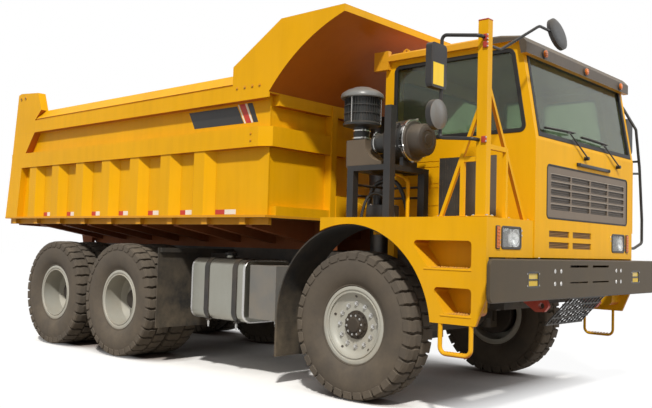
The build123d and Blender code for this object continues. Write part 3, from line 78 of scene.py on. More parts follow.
tyre_low, tyre_high = box_of("tyre_front_right")
front_axle = (tyre_low + tyre_high) / 2
axle_x = front_axle.x
tyre_radius = (tyre_high.z - tyre_low.z) / 2
print("front axle at", round(axle_x, 4), "tyre radius", round(tyre_radius, 4))


def at(ahead):
    """X of a place given in metres ahead of the front axle."""
    return axle_x + ahead


AHEAD, LEFT, UP = (1, 0, 0), (0, 1, 0), (0, 0, 1)


# %% [markdown]
# ## Finishes
#
# Real machine paint is never one flat colour. It carries dust on the faces
# that look up and near the ground, thin streaks, and bare rubbed edges. The
# same group paints shade too: faces that look down get a deeper, redder tone.
# Many of our finishes want all that, so we build it once as a node group with
# named sockets, and place it in each material with its own values.

# %% The dust, wear and painted shade group
def add_socket(group, name, way, kind, value=None):
    socket = group.interface.new_socket(name=name, in_out=way, socket_type=kind)
    if value is not None:
        socket.default_value = value


def math_node(tree, operation, a, b=None, clamp=False):
    node = tree.nodes.new("ShaderNodeMath")
    node.operation = operation
    node.use_clamp = clamp
    for index, value in enumerate((a, b)):
        if value is None:
            continue
        if isinstance(value, (int, float)):
            node.inputs[index].default_value = value
        else:
            tree.links.new(value, node.inputs[index])
    return node.outputs[0]


def map_range(tree, value, low, high, out_low=0.0, out_high=1.0):
    node = tree.nodes.new("ShaderNodeMapRange")
    tree.links.new(value, node.inputs["Value"])
    for name, number in (("From Min", low), ("From Max", high),
                         ("To Min", out_low), ("To Max", out_high)):
        node.inputs[name].default_value = number
    return node.outputs[0]


def noise(tree, coordinates, scale, detail=4.0, rough=0.55, stretch=None):
    node = tree.nodes.new("ShaderNodeTexNoise")
    node.inputs["Scale"].default_value = scale
    node.inputs["Detail"].default_value = detail
    node.inputs["Roughness"].default_value = rough
    if stretch:
        mapping = tree.nodes.new("ShaderNodeMapping")
        mapping.inputs["Scale"].default_value = stretch
        tree.links.new(coordinates, mapping.inputs["Vector"])
        coordinates = mapping.outputs["Vector"]
    tree.links.new(coordinates, node.inputs["Vector"])
    return node.outputs["Fac"]


def mix_colour(tree, factor, a, b, blend="MIX"):
    node = tree.nodes.new("ShaderNodeMix")
    node.data_type = "RGBA"
    node.blend_type = blend
    for index, value in ((0, factor), (6, a), (7, b)):
        if hasattr(value, "is_output"):
            tree.links.new(value, node.inputs[index])
        else:
            node.inputs[index].default_value = value
    return node.outputs[2]


def object_place(tree):
    """The place on the object, so that a texture stays where it is on its piece."""
    return tree.nodes.new("ShaderNodeTexCoord").outputs["Object"]


def separate(tree, vector):
    node = tree.nodes.new("ShaderNodeSeparateXYZ")
    tree.links.new(vector, node.inputs[0])
    return node.outputs


def build_weather_group():
    group = bpy.data.node_groups.new("weather", "ShaderNodeTree")
    for name, colour in (("Paint", (0.8, 0.4, 0.02, 1)),
                         ("Dust Colour", (0.42, 0.33, 0.22, 1)),
                         ("Edge Colour", (0.5, 0.4, 0.3, 1)),
                         ("Painted Shade Colour", (0.5, 0.2, 0.02, 1))):
        add_socket(group, name, "INPUT", "NodeSocketColor", colour)
    for name, value in (("Dust", 0.5), ("Wear", 0.5), ("Roughness", 0.4)):
        add_socket(group, name, "INPUT", "NodeSocketFloat", value)
    for name, kind in (("Color", "Color"), ("Roughness", "Float"), ("Height", "Float")):
        add_socket(group, name, "OUTPUT", "NodeSocket" + kind)
    given = group.nodes.new("NodeGroupInput")
    result = group.nodes.new("NodeGroupOutput")
    place = object_place(group)
    surface = group.nodes.new("ShaderNodeNewGeometry")
    height_up = separate(group, place)["Z"]
    facing_up = separate(group, surface.outputs["Normal"])["Z"]

    # slow changes of tone over the sheet, and fine streaks down it
    tone = map_range(group, noise(group, place, 1.1, 3), 0.3, 0.7, 0.94, 1.04)
    streak = map_range(group, noise(group, place, 9.0, 4, 0.6, (1.0, 1.0, 0.08)),
                       0.42, 0.75, 1.0, 0.93)
    shade = math_node(group, "MULTIPLY", tone, streak)
    grey = group.nodes.new("ShaderNodeCombineColor")
    for index in range(3):
        group.links.new(shade, grey.inputs[index])
    # faces that look down get a deeper, redder tone: painted shade for the shadow under ledges and
    # overhangs
    down = map_range(group, facing_up, -0.15, -0.6)
    paint = mix_colour(group, down, given.outputs["Paint"], given.outputs["Painted Shade Colour"])
    toned = mix_colour(group, 1.0, paint, grey.outputs[0], "MULTIPLY")

    # rubbed edges: a rounded normal differs from the true one only at an edge
    rounded = group.nodes.new("ShaderNodeBevel")
    rounded.samples = 4
    rounded.inputs["Radius"].default_value = 0.007
    dot = group.nodes.new("ShaderNodeVectorMath")
    dot.operation = "DOT_PRODUCT"
    group.links.new(rounded.outputs[0], dot.inputs[0])
    group.links.new(surface.outputs["Normal"], dot.inputs[1])
    edge = map_range(group, dot.outputs["Value"], 0.99, 0.8)
    patch = map_range(group, noise(group, place, 14.0, 6, 0.7), 0.46, 0.62)
    edge = math_node(group, "MULTIPLY", edge, patch, clamp=True)
    edge = math_node(group, "MULTIPLY", edge, given.outputs["Wear"], clamp=True)
    worn = mix_colour(group, edge, toned, given.outputs["Edge Colour"])

    # dust settles on faces that look up and rises from the ground
    upward = map_range(group, facing_up, 0.25, 0.95, 0.0, 0.75)
    low = map_range(group, height_up, 1.7, 0.3, 0.0, 0.55)
    cloud = map_range(group, noise(group, place, 3.2, 8, 0.65), 0.35, 0.72)
    film = math_node(group, "ADD", math_node(group, "MAXIMUM", upward, low), 0.12)
    film = math_node(group, "MULTIPLY", film, cloud)
    film = math_node(group, "MULTIPLY", film, given.outputs["Dust"], clamp=True)
    dusty = mix_colour(group, film, worn, given.outputs["Dust Colour"])
    group.links.new(dusty, result.inputs["Color"])

    rough = math_node(group, "ADD", given.outputs["Roughness"],
                      math_node(group, "MULTIPLY", film, 0.5))
    grain = noise(group, place, 160.0, 2)
    rough = math_node(group, "ADD", rough, map_range(group, grain, 0.3, 0.7, -0.04, 0.05), True)
    group.links.new(rough, result.inputs["Roughness"])
    height = math_node(group, "ADD", math_node(group, "MULTIPLY", grain, 0.25),
                       math_node(group, "MULTIPLY", film, 0.8))
    group.links.new(height, result.inputs["Height"])
    return group


weather = build_weather_group()
print("weather group:", [s.name for s in weather.interface.items_tree])


# %% [markdown]
# A finish is then a short recipe: a colour, how dusty and how rubbed it is,
# and how it shines. The Principled shader keeps its plain numbers on its own
# sockets, and only what changes over the surface comes through the group.

# %% Finishes made with the group
def weathered(name, paint, roughness, dust, wear, metallic=0.0, gloss=0.4, painted_shade=None,
              bump=0.15, edge=(0.30, 0.20, 0.12), dust_colour=(0.40, 0.31, 0.20)):
    material = bpy.data.materials.new(name)
    material.use_nodes = True
    tree = material.node_tree
    shader = tree.nodes["Principled BSDF"]
    shader.inputs["Metallic"].default_value = metallic
    shader.inputs["Specular IOR Level"].default_value = gloss
    group = tree.nodes.new("ShaderNodeGroup")
    group.node_tree = weather
    for socket, value in (("Paint", (*paint, 1)), ("Dust Colour", (*dust_colour, 1)),
                          ("Edge Colour", (*edge, 1)), ("Painted Shade Colour", (*(painted_shade or paint), 1)),
                          ("Dust", dust), ("Wear", wear), ("Roughness", roughness)):
        group.inputs[socket].default_value = value
    tree.links.new(group.outputs["Color"], shader.inputs["Base Color"])
    tree.links.new(group.outputs["Roughness"], shader.inputs["Roughness"])
    relief = tree.nodes.new("ShaderNodeBump")
    relief.inputs["Strength"].default_value = bump
    relief.inputs["Distance"].default_value = 0.002
    tree.links.new(group.outputs["Height"], relief.inputs["Height"])
    tree.links.new(relief.outputs["Normal"], shader.inputs["Normal"])
    return material


# the yellow's red-brown tone on faces that look down is painted shade
yellow_paint = weathered("yellow_paint", (0.78, 0.398, 0.003), 0.38, 0.20, 0.35, gloss=0.10,
                         painted_shade=(0.46, 0.135, 0.014), edge=(0.50, 0.24, 0.02))
# the bed floor's dark tone on faces that look down is painted shade
yellow_inside = weathered("yellow_inside", (0.66, 0.30, 0.008), 0.5, 0.75, 0.7, gloss=0.2,
                          painted_shade=(0.16, 0.075, 0.02), edge=(0.32, 0.24, 0.17))
# the bed's underframe is yellow paint in deep shade, so this dark red-brown is painted shade
underframe_painted_shade = weathered("underframe_painted_shade", (0.24, 0.070, 0.022), 0.6, 0.5, 0.4, gloss=0.15)
bumper_paint = weathered("bumper_paint", (0.058, 0.043, 0.025), 0.50, 0.30, 0.35, gloss=0.25,
                         dust_colour=(0.19, 0.14, 0.08))
chassis_paint = weathered("chassis_paint", (0.030, 0.026, 0.024), 0.55, 0.55, 0.35)
cast_iron = weathered("cast_iron", (0.05, 0.047, 0.045), 0.65, 0.6, 0.3, metallic=0.3)
rubber_sheet = weathered("rubber_sheet", (0.018, 0.017, 0.016), 0.75, 0.5, 0.2)
tyre_rubber = weathered("tyre_rubber", (0.078, 0.065, 0.052), 0.82, 0.75, 0.3,
                        edge=(0.20, 0.165, 0.125), dust_colour=(0.21, 0.17, 0.125))
black_plastic = weathered("black_plastic", (0.020, 0.021, 0.022), 0.42, 0.35, 0.2)
black_steel = weathered("black_steel", (0.014, 0.014, 0.015), 0.4, 0.3, 0.25)
tan_duct = weathered("tan_duct", (0.115, 0.088, 0.062), 0.6, 0.5, 0.2)
wheel_paint = weathered("wheel_paint", (0.40, 0.40, 0.36), 0.42, 0.55, 0.5, metallic=0.1)
hub_iron = weathered("hub_iron", (0.030, 0.024, 0.019), 0.6, 0.45, 0.3, metallic=0.3,
                     dust_colour=(0.16, 0.12, 0.08))
tank_metal = weathered("tank_metal", (0.33, 0.325, 0.28), 0.30, 0.4, 0.2, metallic=0.9,
                       dust_colour=(0.26, 0.22, 0.16))
box_paint = weathered("box_paint", (0.16, 0.16, 0.155), 0.5, 0.5, 0.4)
bright_steel = weathered("bright_steel", (0.55, 0.54, 0.52), 0.25, 0.2, 0.2, metallic=1.0)
trim_dark = weathered("trim_dark", (0.022, 0.020, 0.018), 0.6, 0.3, 0.1)
hook_paint = weathered("hook_paint", (0.42, 0.035, 0.02), 0.45, 0.5, 0.4)
seat_cloth = weathered("seat_cloth", (0.035, 0.035, 0.040), 0.85, 0.2, 0.1)
print("weathered finishes made")


# %% [markdown]
# The roof is one pressing in two colours: its visor is brown-grey and the
# rest is yellow. A mask on the place along the truck parts the two inside one
# finish, so the pressing stays whole.

# %% Two colours on the roof
def masked_paint(material, other, edge_x):
    """Puts another paint on what lies ahead of edge_x."""
    tree = material.node_tree
    group = next(n for n in tree.nodes if n.type == "GROUP")
    ahead = map_range(tree, separate(tree, object_place(tree))["X"],
                      edge_x - 0.001, edge_x + 0.001)
    own = tuple(group.inputs["Paint"].default_value)
    tree.links.new(mix_colour(tree, ahead, own, (*other, 1)), group.inputs["Paint"])


cab_roof_paint = weathered("cab_roof_paint", (0.70, 0.33, 0.010), 0.45, 0.5, 0.4, gloss=0.3)
masked_paint(cab_roof_paint, (0.068, 0.052, 0.037), at(1.02))
louvre_paint = weathered("louvre_paint", (0.060, 0.058, 0.055), 0.5, 0.35, 0.4)
masked_paint(louvre_paint, (0.15, 0.115, 0.085), at(0.72))
print("masked finishes made")


# %% [markdown]
# Glass and lamp lenses are clear or coloured. They keep a plain transmission,
# and a little noise in the roughness stands for the dust on them.

# %% Glass and lenses
def clear(name, colour, transmission, roughness):
    material = bpy.data.materials.new(name)
    material.use_nodes = True
    tree = material.node_tree
    shader = tree.nodes["Principled BSDF"]
    shader.inputs["Transmission Weight"].default_value = transmission
    shader.inputs["IOR"].default_value = 1.45
    smear = noise(tree, object_place(tree), 2.2, 6, 0.7)
    tree.links.new(map_range(tree, smear, 0.35, 0.75, roughness, roughness + 0.14),
                   shader.inputs["Roughness"])
    tint = tuple(c * 0.8 for c in colour)
    base = mix_colour(tree, map_range(tree, smear, 0.4, 0.7), (*colour, 1), (*tint, 1))
    tree.links.new(base, shader.inputs["Base Color"])
    return material


window_glass = clear("window_glass", (0.33, 0.42, 0.29), 0.95, 0.01)
lamp_glass = clear("lamp_glass", (0.92, 0.93, 0.92), 0.9, 0.03)
amber_lens = clear("amber_lens", (0.85, 0.22, 0.02), 0.35, 0.15)
fog_lens = clear("fog_lens", (0.85, 0.62, 0.10), 0.3, 0.12)
red_lens = clear("red_lens", (0.62, 0.02, 0.015), 0.3, 0.15)
mirror_glass = clear("mirror_glass", (0.75, 0.78, 0.80), 0.0, 0.03)
mirror_glass.node_tree.nodes["Principled BSDF"].inputs["Metallic"].default_value = 1.0

print("clear finishes made")

# %% [markdown]
# Now each node of the drawing gets its finish. We write down how the nodes'
# names begin instead of every name, so that left and right share one word.

# %% Put the finishes on
# where two beginnings fit, as on the bumper's guard, the later finish stays
finish_of = {
    yellow_paint: "wing bed_side bed_front_wall bed_canopy handrails cab_shell cab_door ladders",
    yellow_inside: "bed_floor",
    underframe_painted_shade: "bed_underframe",
    cab_roof_paint: "cab_roof",
    bumper_paint: "bumper",
    chassis_paint: "frame front_axle drive_axles rear_springs front_springs drive_shaft knuckle",
    black_steel: "deck_stands tank_brackets bumper_guard hoist_cover mirrors",
    cast_iron: "engine",
    tank_metal: "fuel_tank air_tanks",
    box_paint: "side_boxes",
    rubber_sheet: "mudguards",
    black_plastic: "pre_cleaner air_cleaner",
    trim_dark: "dashboard",
    louvre_paint: "grilles",
    tan_duct: "intake_elbow",
    wheel_paint: "rim",
    tyre_rubber: "tyre",
    window_glass: "cab_glass door_glass",
    lamp_glass: "headlamps",
    amber_lens: "orange_lamps",
    fog_lens: "fog_lamps",
    red_lens: "tail_lamps",
    hook_paint: "tow_hooks",
    seat_cloth: "driver_seat",
    bright_steel: "hoist_stage hoist_rod",
}
bare = set(nodes)
for material, starts in finish_of.items():
    for name, node in nodes.items():
        if name.startswith(tuple(starts.split())):
            node.data.materials.clear()
            node.data.materials.append(material)
            bare.discard(name)
print("nodes without a finish:", sorted(bare))


# %% [markdown]
# ## Helpers for new pieces
#
# Every new piece ends the same way: its mesh goes into an object at the
# origin, gets a finish and rides on a body of the truck. A blank for most small
# parts is a block or a round bar with its edges bevelled, because real edges
# catch the light.

# %% Piece helpers
def piece(bm, name, material, smooth=30, body="chassis"):
    mesh = bpy.data.meshes.new(name)
    bm.to_mesh(mesh)
    bm.free()
    obj = bpy.data.objects.new(name, mesh)
    bpy.context.scene.collection.objects.link(obj)
    for entry in material if isinstance(material, list) else [material]:
        mesh.materials.append(entry)
    if smooth:
        mesh.shade_smooth()
        mesh.set_sharp_from_angle(angle=radians(smooth))
    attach(obj, body)
    print(name, len(mesh.polygons), "faces")
    return obj


def bevel(bm, edges, width, segments=2):
    bmesh.ops.bevel(bm, geom=edges, offset=width, offset_type="OFFSET", segments=segments,
                    profile=0.5, affect="EDGES", clamp_overlap=True, material=-1)


def add_block(bm, low, high, width=0.004, segments=1, index=0, turn=None):
    """A block between two corners, its edges bevelled, then turned into place."""
    low, high = Vector(low), Vector(high)
    place = Matrix.Translation((low + high) / 2) @ Matrix.Diagonal((*(high - low), 1))
    if turn is not None:
        place = turn @ place
    verts = bmesh.ops.create_cube(bm, size=1, matrix=place)["verts"]
    for face in {f for v in verts for f in v.link_faces}:
        face.material_index = index
    if width:
        bevel(bm, list({e for v in verts for e in v.link_edges}), width, segments)


def aim(direction, from_axis=UP):
    """Rotation that turns +Z, or another axis, to a direction."""
    turn = Vector(from_axis).rotation_difference(Vector(direction).normalized())
    return turn.to_matrix().to_4x4()


def add_bar(bm, start, end, radius, sides=16, radius_end=None, width=0.0, index=0):
    """A round bar, cone or bolt between two points."""
    start, end = Vector(start), Vector(end)
    run = end - start
    place = Matrix.Translation((start + end) / 2) @ aim(run)
    made = bmesh.ops.create_cone(bm, cap_ends=True, segments=sides, radius1=radius,
                                 radius2=radius if radius_end is None else radius_end,
                                 depth=run.length, matrix=place)
    faces = {f for v in made["verts"] for f in v.link_faces}
    for face in faces:
        face.material_index = index
    if width:
        bevel(bm, list({e for f in faces if len(f.verts) > 4 for e in f.edges}), width, 1)


def add_bolt(bm, place, axis, radius=0.012, height=0.009, index=0):
    """A hexagon head on its washer, standing on a surface."""
    place, axis = Vector(place), Vector(axis).normalized()
    add_bar(bm, place - axis * 0.001, place + axis * height * 0.25, radius * 1.45, 14, index=index)
    add_bar(bm, place + axis * height * 0.2, place + axis * height, radius, 6, radius * 0.96,
            width=radius * 0.12, index=index)


def tube(name, points, radius, material):
    """A bent tube that follows a smooth line near a few points."""
    curve = bpy.data.curves.new(name, "CURVE")
    curve.dimensions = "3D"
    line = curve.splines.new("NURBS")
    line.points.add(len(points) - 1)
    for point, place in zip(line.points, points):
        point.co = (*place, 1)
    line.order_u = 3
    line.use_endpoint_u = True
    line.resolution_u = 8
    curve.bevel_depth = radius
    curve.bevel_resolution = 3
    curve.use_fill_caps = True
    shape = bpy.data.objects.new(name + "_line", curve)
    mesh = bpy.data.meshes.new_from_object(shape)
    bpy.data.objects.remove(shape)
    bpy.data.curves.remove(curve)
    bm = bmesh.new()
    bm.from_mesh(mesh)
    bpy.data.meshes.remove(mesh)
    bmesh.ops.remove_doubles(bm, verts=bm.verts, dist=0.0001)
    bmesh.ops.recalc_face_normals(bm, faces=bm.faces)
    piece(bm, name, material, 50)


print("helpers ready")

# %% [markdown]
# ## Tyres
#
# A haul tyre is a smooth carcass with thick blocks of rubber round it. The
# blocks reach over the shoulder, and narrow wavy grooves part them. We spin
# half a cross-section right round for the carcass, model one shoulder block,
# and spin copies of it round the wheel.

# %% Model one tyre
lug_count = 34
tread_floor = tyre_radius - 0.030
carcass_half = 0.188
# half of the carcass: (metres from the middle, radius)
carcass = [
    (0.000, tread_floor), (0.100, tread_floor - 0.002), (0.148, tread_floor - 0.010),
    (0.168, tread_floor - 0.026), (0.176, tread_floor - 0.060), (0.182, 0.575),
    (0.187, 0.540), (0.188, 0.505), (0.185, 0.470), (0.178, 0.436), (0.166, 0.408),
    (0.150, 0.384), (0.141, 0.372), (0.143, 0.364), (0.136, 0.358), (0.126, 0.352),
    (0.122, 0.330), (0.118, 0.3195),
]


def add_copy(bm, mesh):
    """Adds a mesh's shape and returns its corner points."""
    start = len(bm.verts)
    bm.from_mesh(mesh)
    bm.verts.ensure_lookup_table()
    return bm.verts[start:]


def groove_wave(w):
    """How far a groove's line wanders round the wheel, along its run across."""
    return 0.010 * sin(w * 34.0) + 0.10 * w


def model_tyre():
    bm = bmesh.new()
    profile = [Vector((0, w, r)) for w, r in reversed(carcass)]
    profile += [Vector((0, -w, r)) for w, r in carcass[1:]]
    ring = [bm.verts.new(p) for p in profile]
    edges = [bm.edges.new(pair) for pair in zip(ring, ring[1:])]
    bmesh.ops.spin(bm, geom=ring + edges, cent=(0, 0, 0), axis=LEFT, angle=tau,
                   steps=lug_count * 3, use_merge=True)
    bmesh.ops.remove_doubles(bm, verts=bm.verts, dist=0.0005)
    bmesh.ops.recalc_face_normals(bm, faces=bm.faces)

    # one block, from the middle groove to below the shoulder
    pitch = tau * tyre_radius / lug_count
    block = bmesh.new()
    bmesh.ops.create_cube(block, size=1)
    bmesh.ops.subdivide_edges(
        block, edges=[e for e in block.edges if abs(e.verts[0].co.y - e.verts[1].co.y) > 0.5],
        cuts=7, use_grid_fill=True)
    half = (pitch - 0.020) / 2
    for v in block.verts:
        across = 0.010 + (v.co.y + 0.5) * 0.168
        top = v.co.z > 0
        taper = 0.90 if top else 1.0
        crown = 0.012 * (across / 0.178) ** 3
        v.co.x = v.co.x * 2 * half * taper + groove_wave(across)
        v.co.z = (tyre_radius - 0.0028 - crown) if top else tread_floor - 0.030
        v.co.y = across - (0.006 if top and across > 0.17 else 0)
    upper = [e for e in block.edges if len(e.link_faces) == 2 and e.calc_face_angle(0) > 0.8
             and e.verts[0].co.z + e.verts[1].co.z > 2 * tread_floor]
    bevel(block, upper, 0.005, 1)
    # the buttress that carries the block down the shoulder
    foot = bmesh.ops.create_cube(block, size=1)["verts"]
    for v in foot:
        top = v.co.z > 0
        outer = v.co.y > 0
        v.co.x = v.co.x * 2 * half * (0.96 if top else 0.80) + groove_wave(0.178) - 0.001
        v.co.z = (tyre_radius - 0.020) if top else 0.600
        v.co.y = (0.1795 if top else 0.1855) if outer else 0.165
    bevel(block, list({e for v in foot for e in v.link_edges}), 0.004, 1)

    mesh = bpy.data.meshes.new("block")
    block.to_mesh(mesh)
    block.free()
    for side in (1, -1):
        verts = add_copy(bm, mesh)
        if side < 0:
            bmesh.ops.scale(bm, verts=verts, vec=(-1, -1, 1))
            bmesh.ops.rotate(bm, verts=verts, cent=(0, 0, 0),
                             matrix=Matrix.Rotation(pi / lug_count, 3, "Y"))
        faces = list({f for v in verts for f in v.link_faces})
        edges = list({e for v in verts for e in v.link_edges})
        bmesh.ops.spin(bm, geom=verts + edges + faces, cent=(0, 0, 0), axis=LEFT,
                       angle=tau * (lug_count - 1) / lug_count, steps=lug_count - 1,
                       use_duplicate=True)
    bpy.data.meshes.remove(mesh)
    tyre = bpy.data.meshes.new("one_tyre")
    bm.to_mesh(tyre)
    bm.free()
    return tyre


one_tyre = model_tyre()
print("one tyre has", len(one_tyre.polygons), "faces")

# %% [markdown]
# Each wheel station gets copies of that tyre. A twin pair moves as one, so
# its two tyres go into one piece. The turn differs from wheel to wheel, since
# no two tyres on a truck stand with their blocks in line.

# %% Fit the tyres
stations = [("tyre_front_left", 1), ("tyre_front_right", 1), ("tyres_mid_left", 2),
            ("tyres_mid_right", 2), ("tyres_rear_left", 2), ("tyres_rear_right", 2)]
for number, (node, count) in enumerate(stations):
    low, high = box_of(node)
    middle = (low + high) / 2
    half = (high.z - low.z) * 0.5 * carcass_half / tyre_radius
    bm = bmesh.new()
    places = [middle.y] if count == 1 else [low.y + half, high.y - half]
    for index, y in enumerate(places):
        verts = add_copy(bm, one_tyre)
        bmesh.ops.rotate(bm, verts=verts, cent=(0, 0, 0),
                         matrix=Matrix.Rotation(0.5 * number + 0.31 * index, 3, "Y"))
        bmesh.ops.translate(bm, verts=verts, vec=(middle.x, y, middle.z))
    body = node.replace("tyres_", "wheels_").replace("tyre_", "wheel_")
    obj = piece(bm, node.replace("tyre", "treaded_tyre"), tyre_rubber, 35, body)
    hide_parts(node)

# %% [markdown]
# ## Wheels
#
# The rims are turned parts, so each starts as half a cross-section that is
# spun round the axle. The front disc bulges outwards and the rear one is a
# deep dish. The hub, the nuts and the small hand holes go on afterwards, and
# each keeps its own finish in the same mesh.

# %% Wheel helpers
wheel_finishes = [wheel_paint, hub_iron, bright_steel, black_steel]


def turn_part(bm, points, centre, axis, index, steps, closed=False):
    """Spins a chain of points right round an axis, as a lathe turns a part."""
    verts = [bm.verts.new(p) for p in points]
    ends = verts[1:] + verts[:1] if closed else verts[1:]
    edges = [bm.edges.new(pair) for pair in zip(verts, ends)]
    before = set(bm.faces)
    bmesh.ops.spin(bm, geom=verts + edges, cent=centre, axis=axis, angle=tau, steps=steps,
                   use_merge=True)
    made = [f for f in bm.faces if f not in before]
    if not closed:  # the chain's ends lie on the axis, so their copies fall together
        bmesh.ops.remove_doubles(bm, verts=list({v for f in made for v in f.verts}), dist=0.0003)
        made = [f for f in bm.faces if f not in before]
    bmesh.ops.recalc_face_normals(bm, faces=made)
    for face in made:
        face.material_index = index


def spin_profile(bm, outline, middle, side, index=0, steps=72):
    """Turns a closed outline of (outward, radius) round the axle."""
    turn_part(bm, [middle + Vector((0, side * w, r)) for w, r in outline], middle, LEFT,
              index, steps, closed=True)


def span(side, near, far):
    """The low and the high Y between two distances on one side of the truck."""
    return sorted((side * near, side * far))


def ring_of_bolts(bm, middle, side, out, radius, count, size, height, index, phase=0.0):
    for number in range(count):
        angle = phase + tau * number / count
        place = middle + Vector((radius * cos(angle), side * out, radius * sin(angle)))
        add_bolt(bm, place, (0, side, 0), size, height, index)


# the rim's tube: flanges that roll outwards, and a lock ring outside
rim_tube = [
    (-0.140, 0.2995), (-0.140, 0.3475), (-0.136, 0.3555), (-0.130, 0.3555), (-0.128, 0.3495),
    (-0.128, 0.3172), (0.128, 0.3172), (0.128, 0.3495), (0.130, 0.3555), (0.136, 0.3555),
    (0.140, 0.3475), (0.139, 0.3255), (0.130, 0.3215), (0.128, 0.3075), (0.138, 0.3035),
    (0.136, 0.2955), (0.110, 0.2995),
]
print("wheel helpers ready")

# %% [markdown]
# A front wheel's disc bulges outwards, so its hub and its nuts stand in the
# open. Every turned part is one outline spun round the axle, and a ring of nuts
# is one bolt placed again and again round a circle.

# %% Front wheels
front_track = 1.262
disc = [(0.060, 0.3000), (0.118, 0.3000), (0.113, 0.286), (0.098, 0.270), (0.084, 0.252),
        (0.078, 0.236), (0.0775, 0.150), (0.0775, 0.126), (0.054, 0.126), (0.054, 0.236),
        (0.058, 0.262)]
drum = [(-0.150, 0.056), (-0.150, 0.225), (-0.140, 0.232), (-0.020, 0.232), (0.054, 0.200),
        (0.054, 0.056)]
hub = [(0.073, 0.0), (0.073, 0.128), (0.082, 0.132), (0.092, 0.128), (0.096, 0.112),
       (0.112, 0.108), (0.117, 0.104), (0.119, 0.074), (0.128, 0.070), (0.136, 0.062),
       (0.138, 0.050), (0.138, 0.0)]
for name, side in (("left", 1), ("right", -1)):
    middle = Vector((axle_x, side * front_track, front_axle.z))
    bm = bmesh.new()
    for outline, index in ((rim_tube, 0), (disc, 0), (drum, 1), (hub, 1)):
        spin_profile(bm, outline, middle, side, index)
    ring_of_bolts(bm, middle, side, 0.078, 0.196, 12, 0.0145, 0.026, 2)
    ring_of_bolts(bm, middle, side, 0.095, 0.118, 12, 0.008, 0.012, 1, 0.2)
    ring_of_bolts(bm, middle, side, 0.118, 0.088, 10, 0.007, 0.008, 2, 0.1)
    # ribs that stiffen the hub
    for number in range(10):
        turn = Matrix.Translation(middle) @ Matrix.Rotation(tau * (number + 0.5) / 10, 4, "Y")
        low, high = span(side, 0.112, 0.124)
        add_block(bm, (0.070, low, -0.005), (0.108, high, 0.005), 0.002, 1, 1, turn)
    # five hand holes, drawn as black discs sunk in the slope of the disc: painted shade for the
    # dark openings
    for number in range(5):
        angle = tau * (number + 0.25) / 5
        spot = middle + Vector((0.262 * cos(angle), side * 0.0935, 0.262 * sin(angle)))
        lean = Vector((cos(angle) * -0.55, side * 0.84, sin(angle) * -0.55))
        add_bar(bm, spot - lean * 0.006, spot + lean * 0.0015, 0.013, index=3)
    valve = middle + Vector((0.232, side * 0.080, 0.03))
    add_bar(bm, valve, valve + Vector((0.03, side * 0.035, 0)), 0.0045, 10, index=2)
    obj = piece(bm, "dressed_rim_front_" + name, wheel_finishes, 32,
                "wheel_front_" + name)
    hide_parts("rim_front_" + name)

# %% [markdown]
# The twin wheels share one hub. The outer dish is deep, so its nuts sit far
# inside, and the drive hub with its round cover comes out through the middle.

# %% Twin wheels
inner_y, outer_y = 0.971, 1.376
half_gap = (outer_y - inner_y) / 2
dish = [(half_gap - 0.090, 0.3), (half_gap - 0.118, 0.3), (0.010, 0.262), (0.0005, 0.240),
        (0.0005, 0.120), (0.022, 0.120), (0.022, 0.250), (0.034, 0.268)]
hub = [(0.020, 0.0), (0.020, 0.165), (0.060, 0.163), (0.072, 0.142), (0.110, 0.138),
       (0.126, 0.128), (0.130, 0.112), (0.148, 0.110), (0.158, 0.100), (0.165, 0.060),
       (0.165, 0.0)]
drum = [(-0.265, 0.082), (-0.265, 0.230), (-0.255, 0.238), (-0.060, 0.238), (-0.020, 0.200),
        (-0.020, 0.082)]
for axle, ahead in (("mid", -3.6), ("rear", -5.1)):
    for name, side in (("left", 1), ("right", -1)):
        bm = bmesh.new()
        middle = Vector((at(ahead), side * (inner_y + outer_y) / 2, front_axle.z))
        for y, facing in ((inner_y, -side), (outer_y, side)):
            spin_profile(bm, rim_tube, Vector((middle.x, side * y, middle.z)), facing, 0, 64)
        for facing in (side, -side):
            spin_profile(bm, dish, middle, facing, 0, 64)
        for outline in (hub, drum):
            spin_profile(bm, outline, middle, side, 1, 56)
        ring_of_bolts(bm, middle, side, 0.022, 0.200, 12, 0.0145, 0.026, 2)
        ring_of_bolts(bm, middle, side, 0.129, 0.120, 10, 0.008, 0.008, 2)
        ring_of_bolts(bm, middle, side, 0.150, 0.078, 8, 0.007, 0.014, 1)
        node = f"rims_{axle}_{name}"
        obj = piece(bm, "dressed_" + node, wheel_finishes, 32,
                    f"wheels_{axle}_{name}")
        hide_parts(node)

# %% [markdown]
# ## Windows
#
# Each pane sits in a black rubber seal. The seal's outline is the window's own
# outline, so we draw it as one face, round its corners with a bevel on the
# corner points, cut the middle out with an inset and give what is left a
# thickness. Nothing has to be computed point by point.

# %% Window seals
cab_right, cab_left = -0.720, 1.500
cab_rear, cab_front = at(-0.210), at(1.450)
belt_z, roof_z, pillar_lean = 2.385, 3.270, 0.155


def pillar_x(z):
    """The windscreen leans back above the belt line."""
    return cab_front - pillar_lean * max(0.0, z - belt_z) / (roof_z - belt_z)


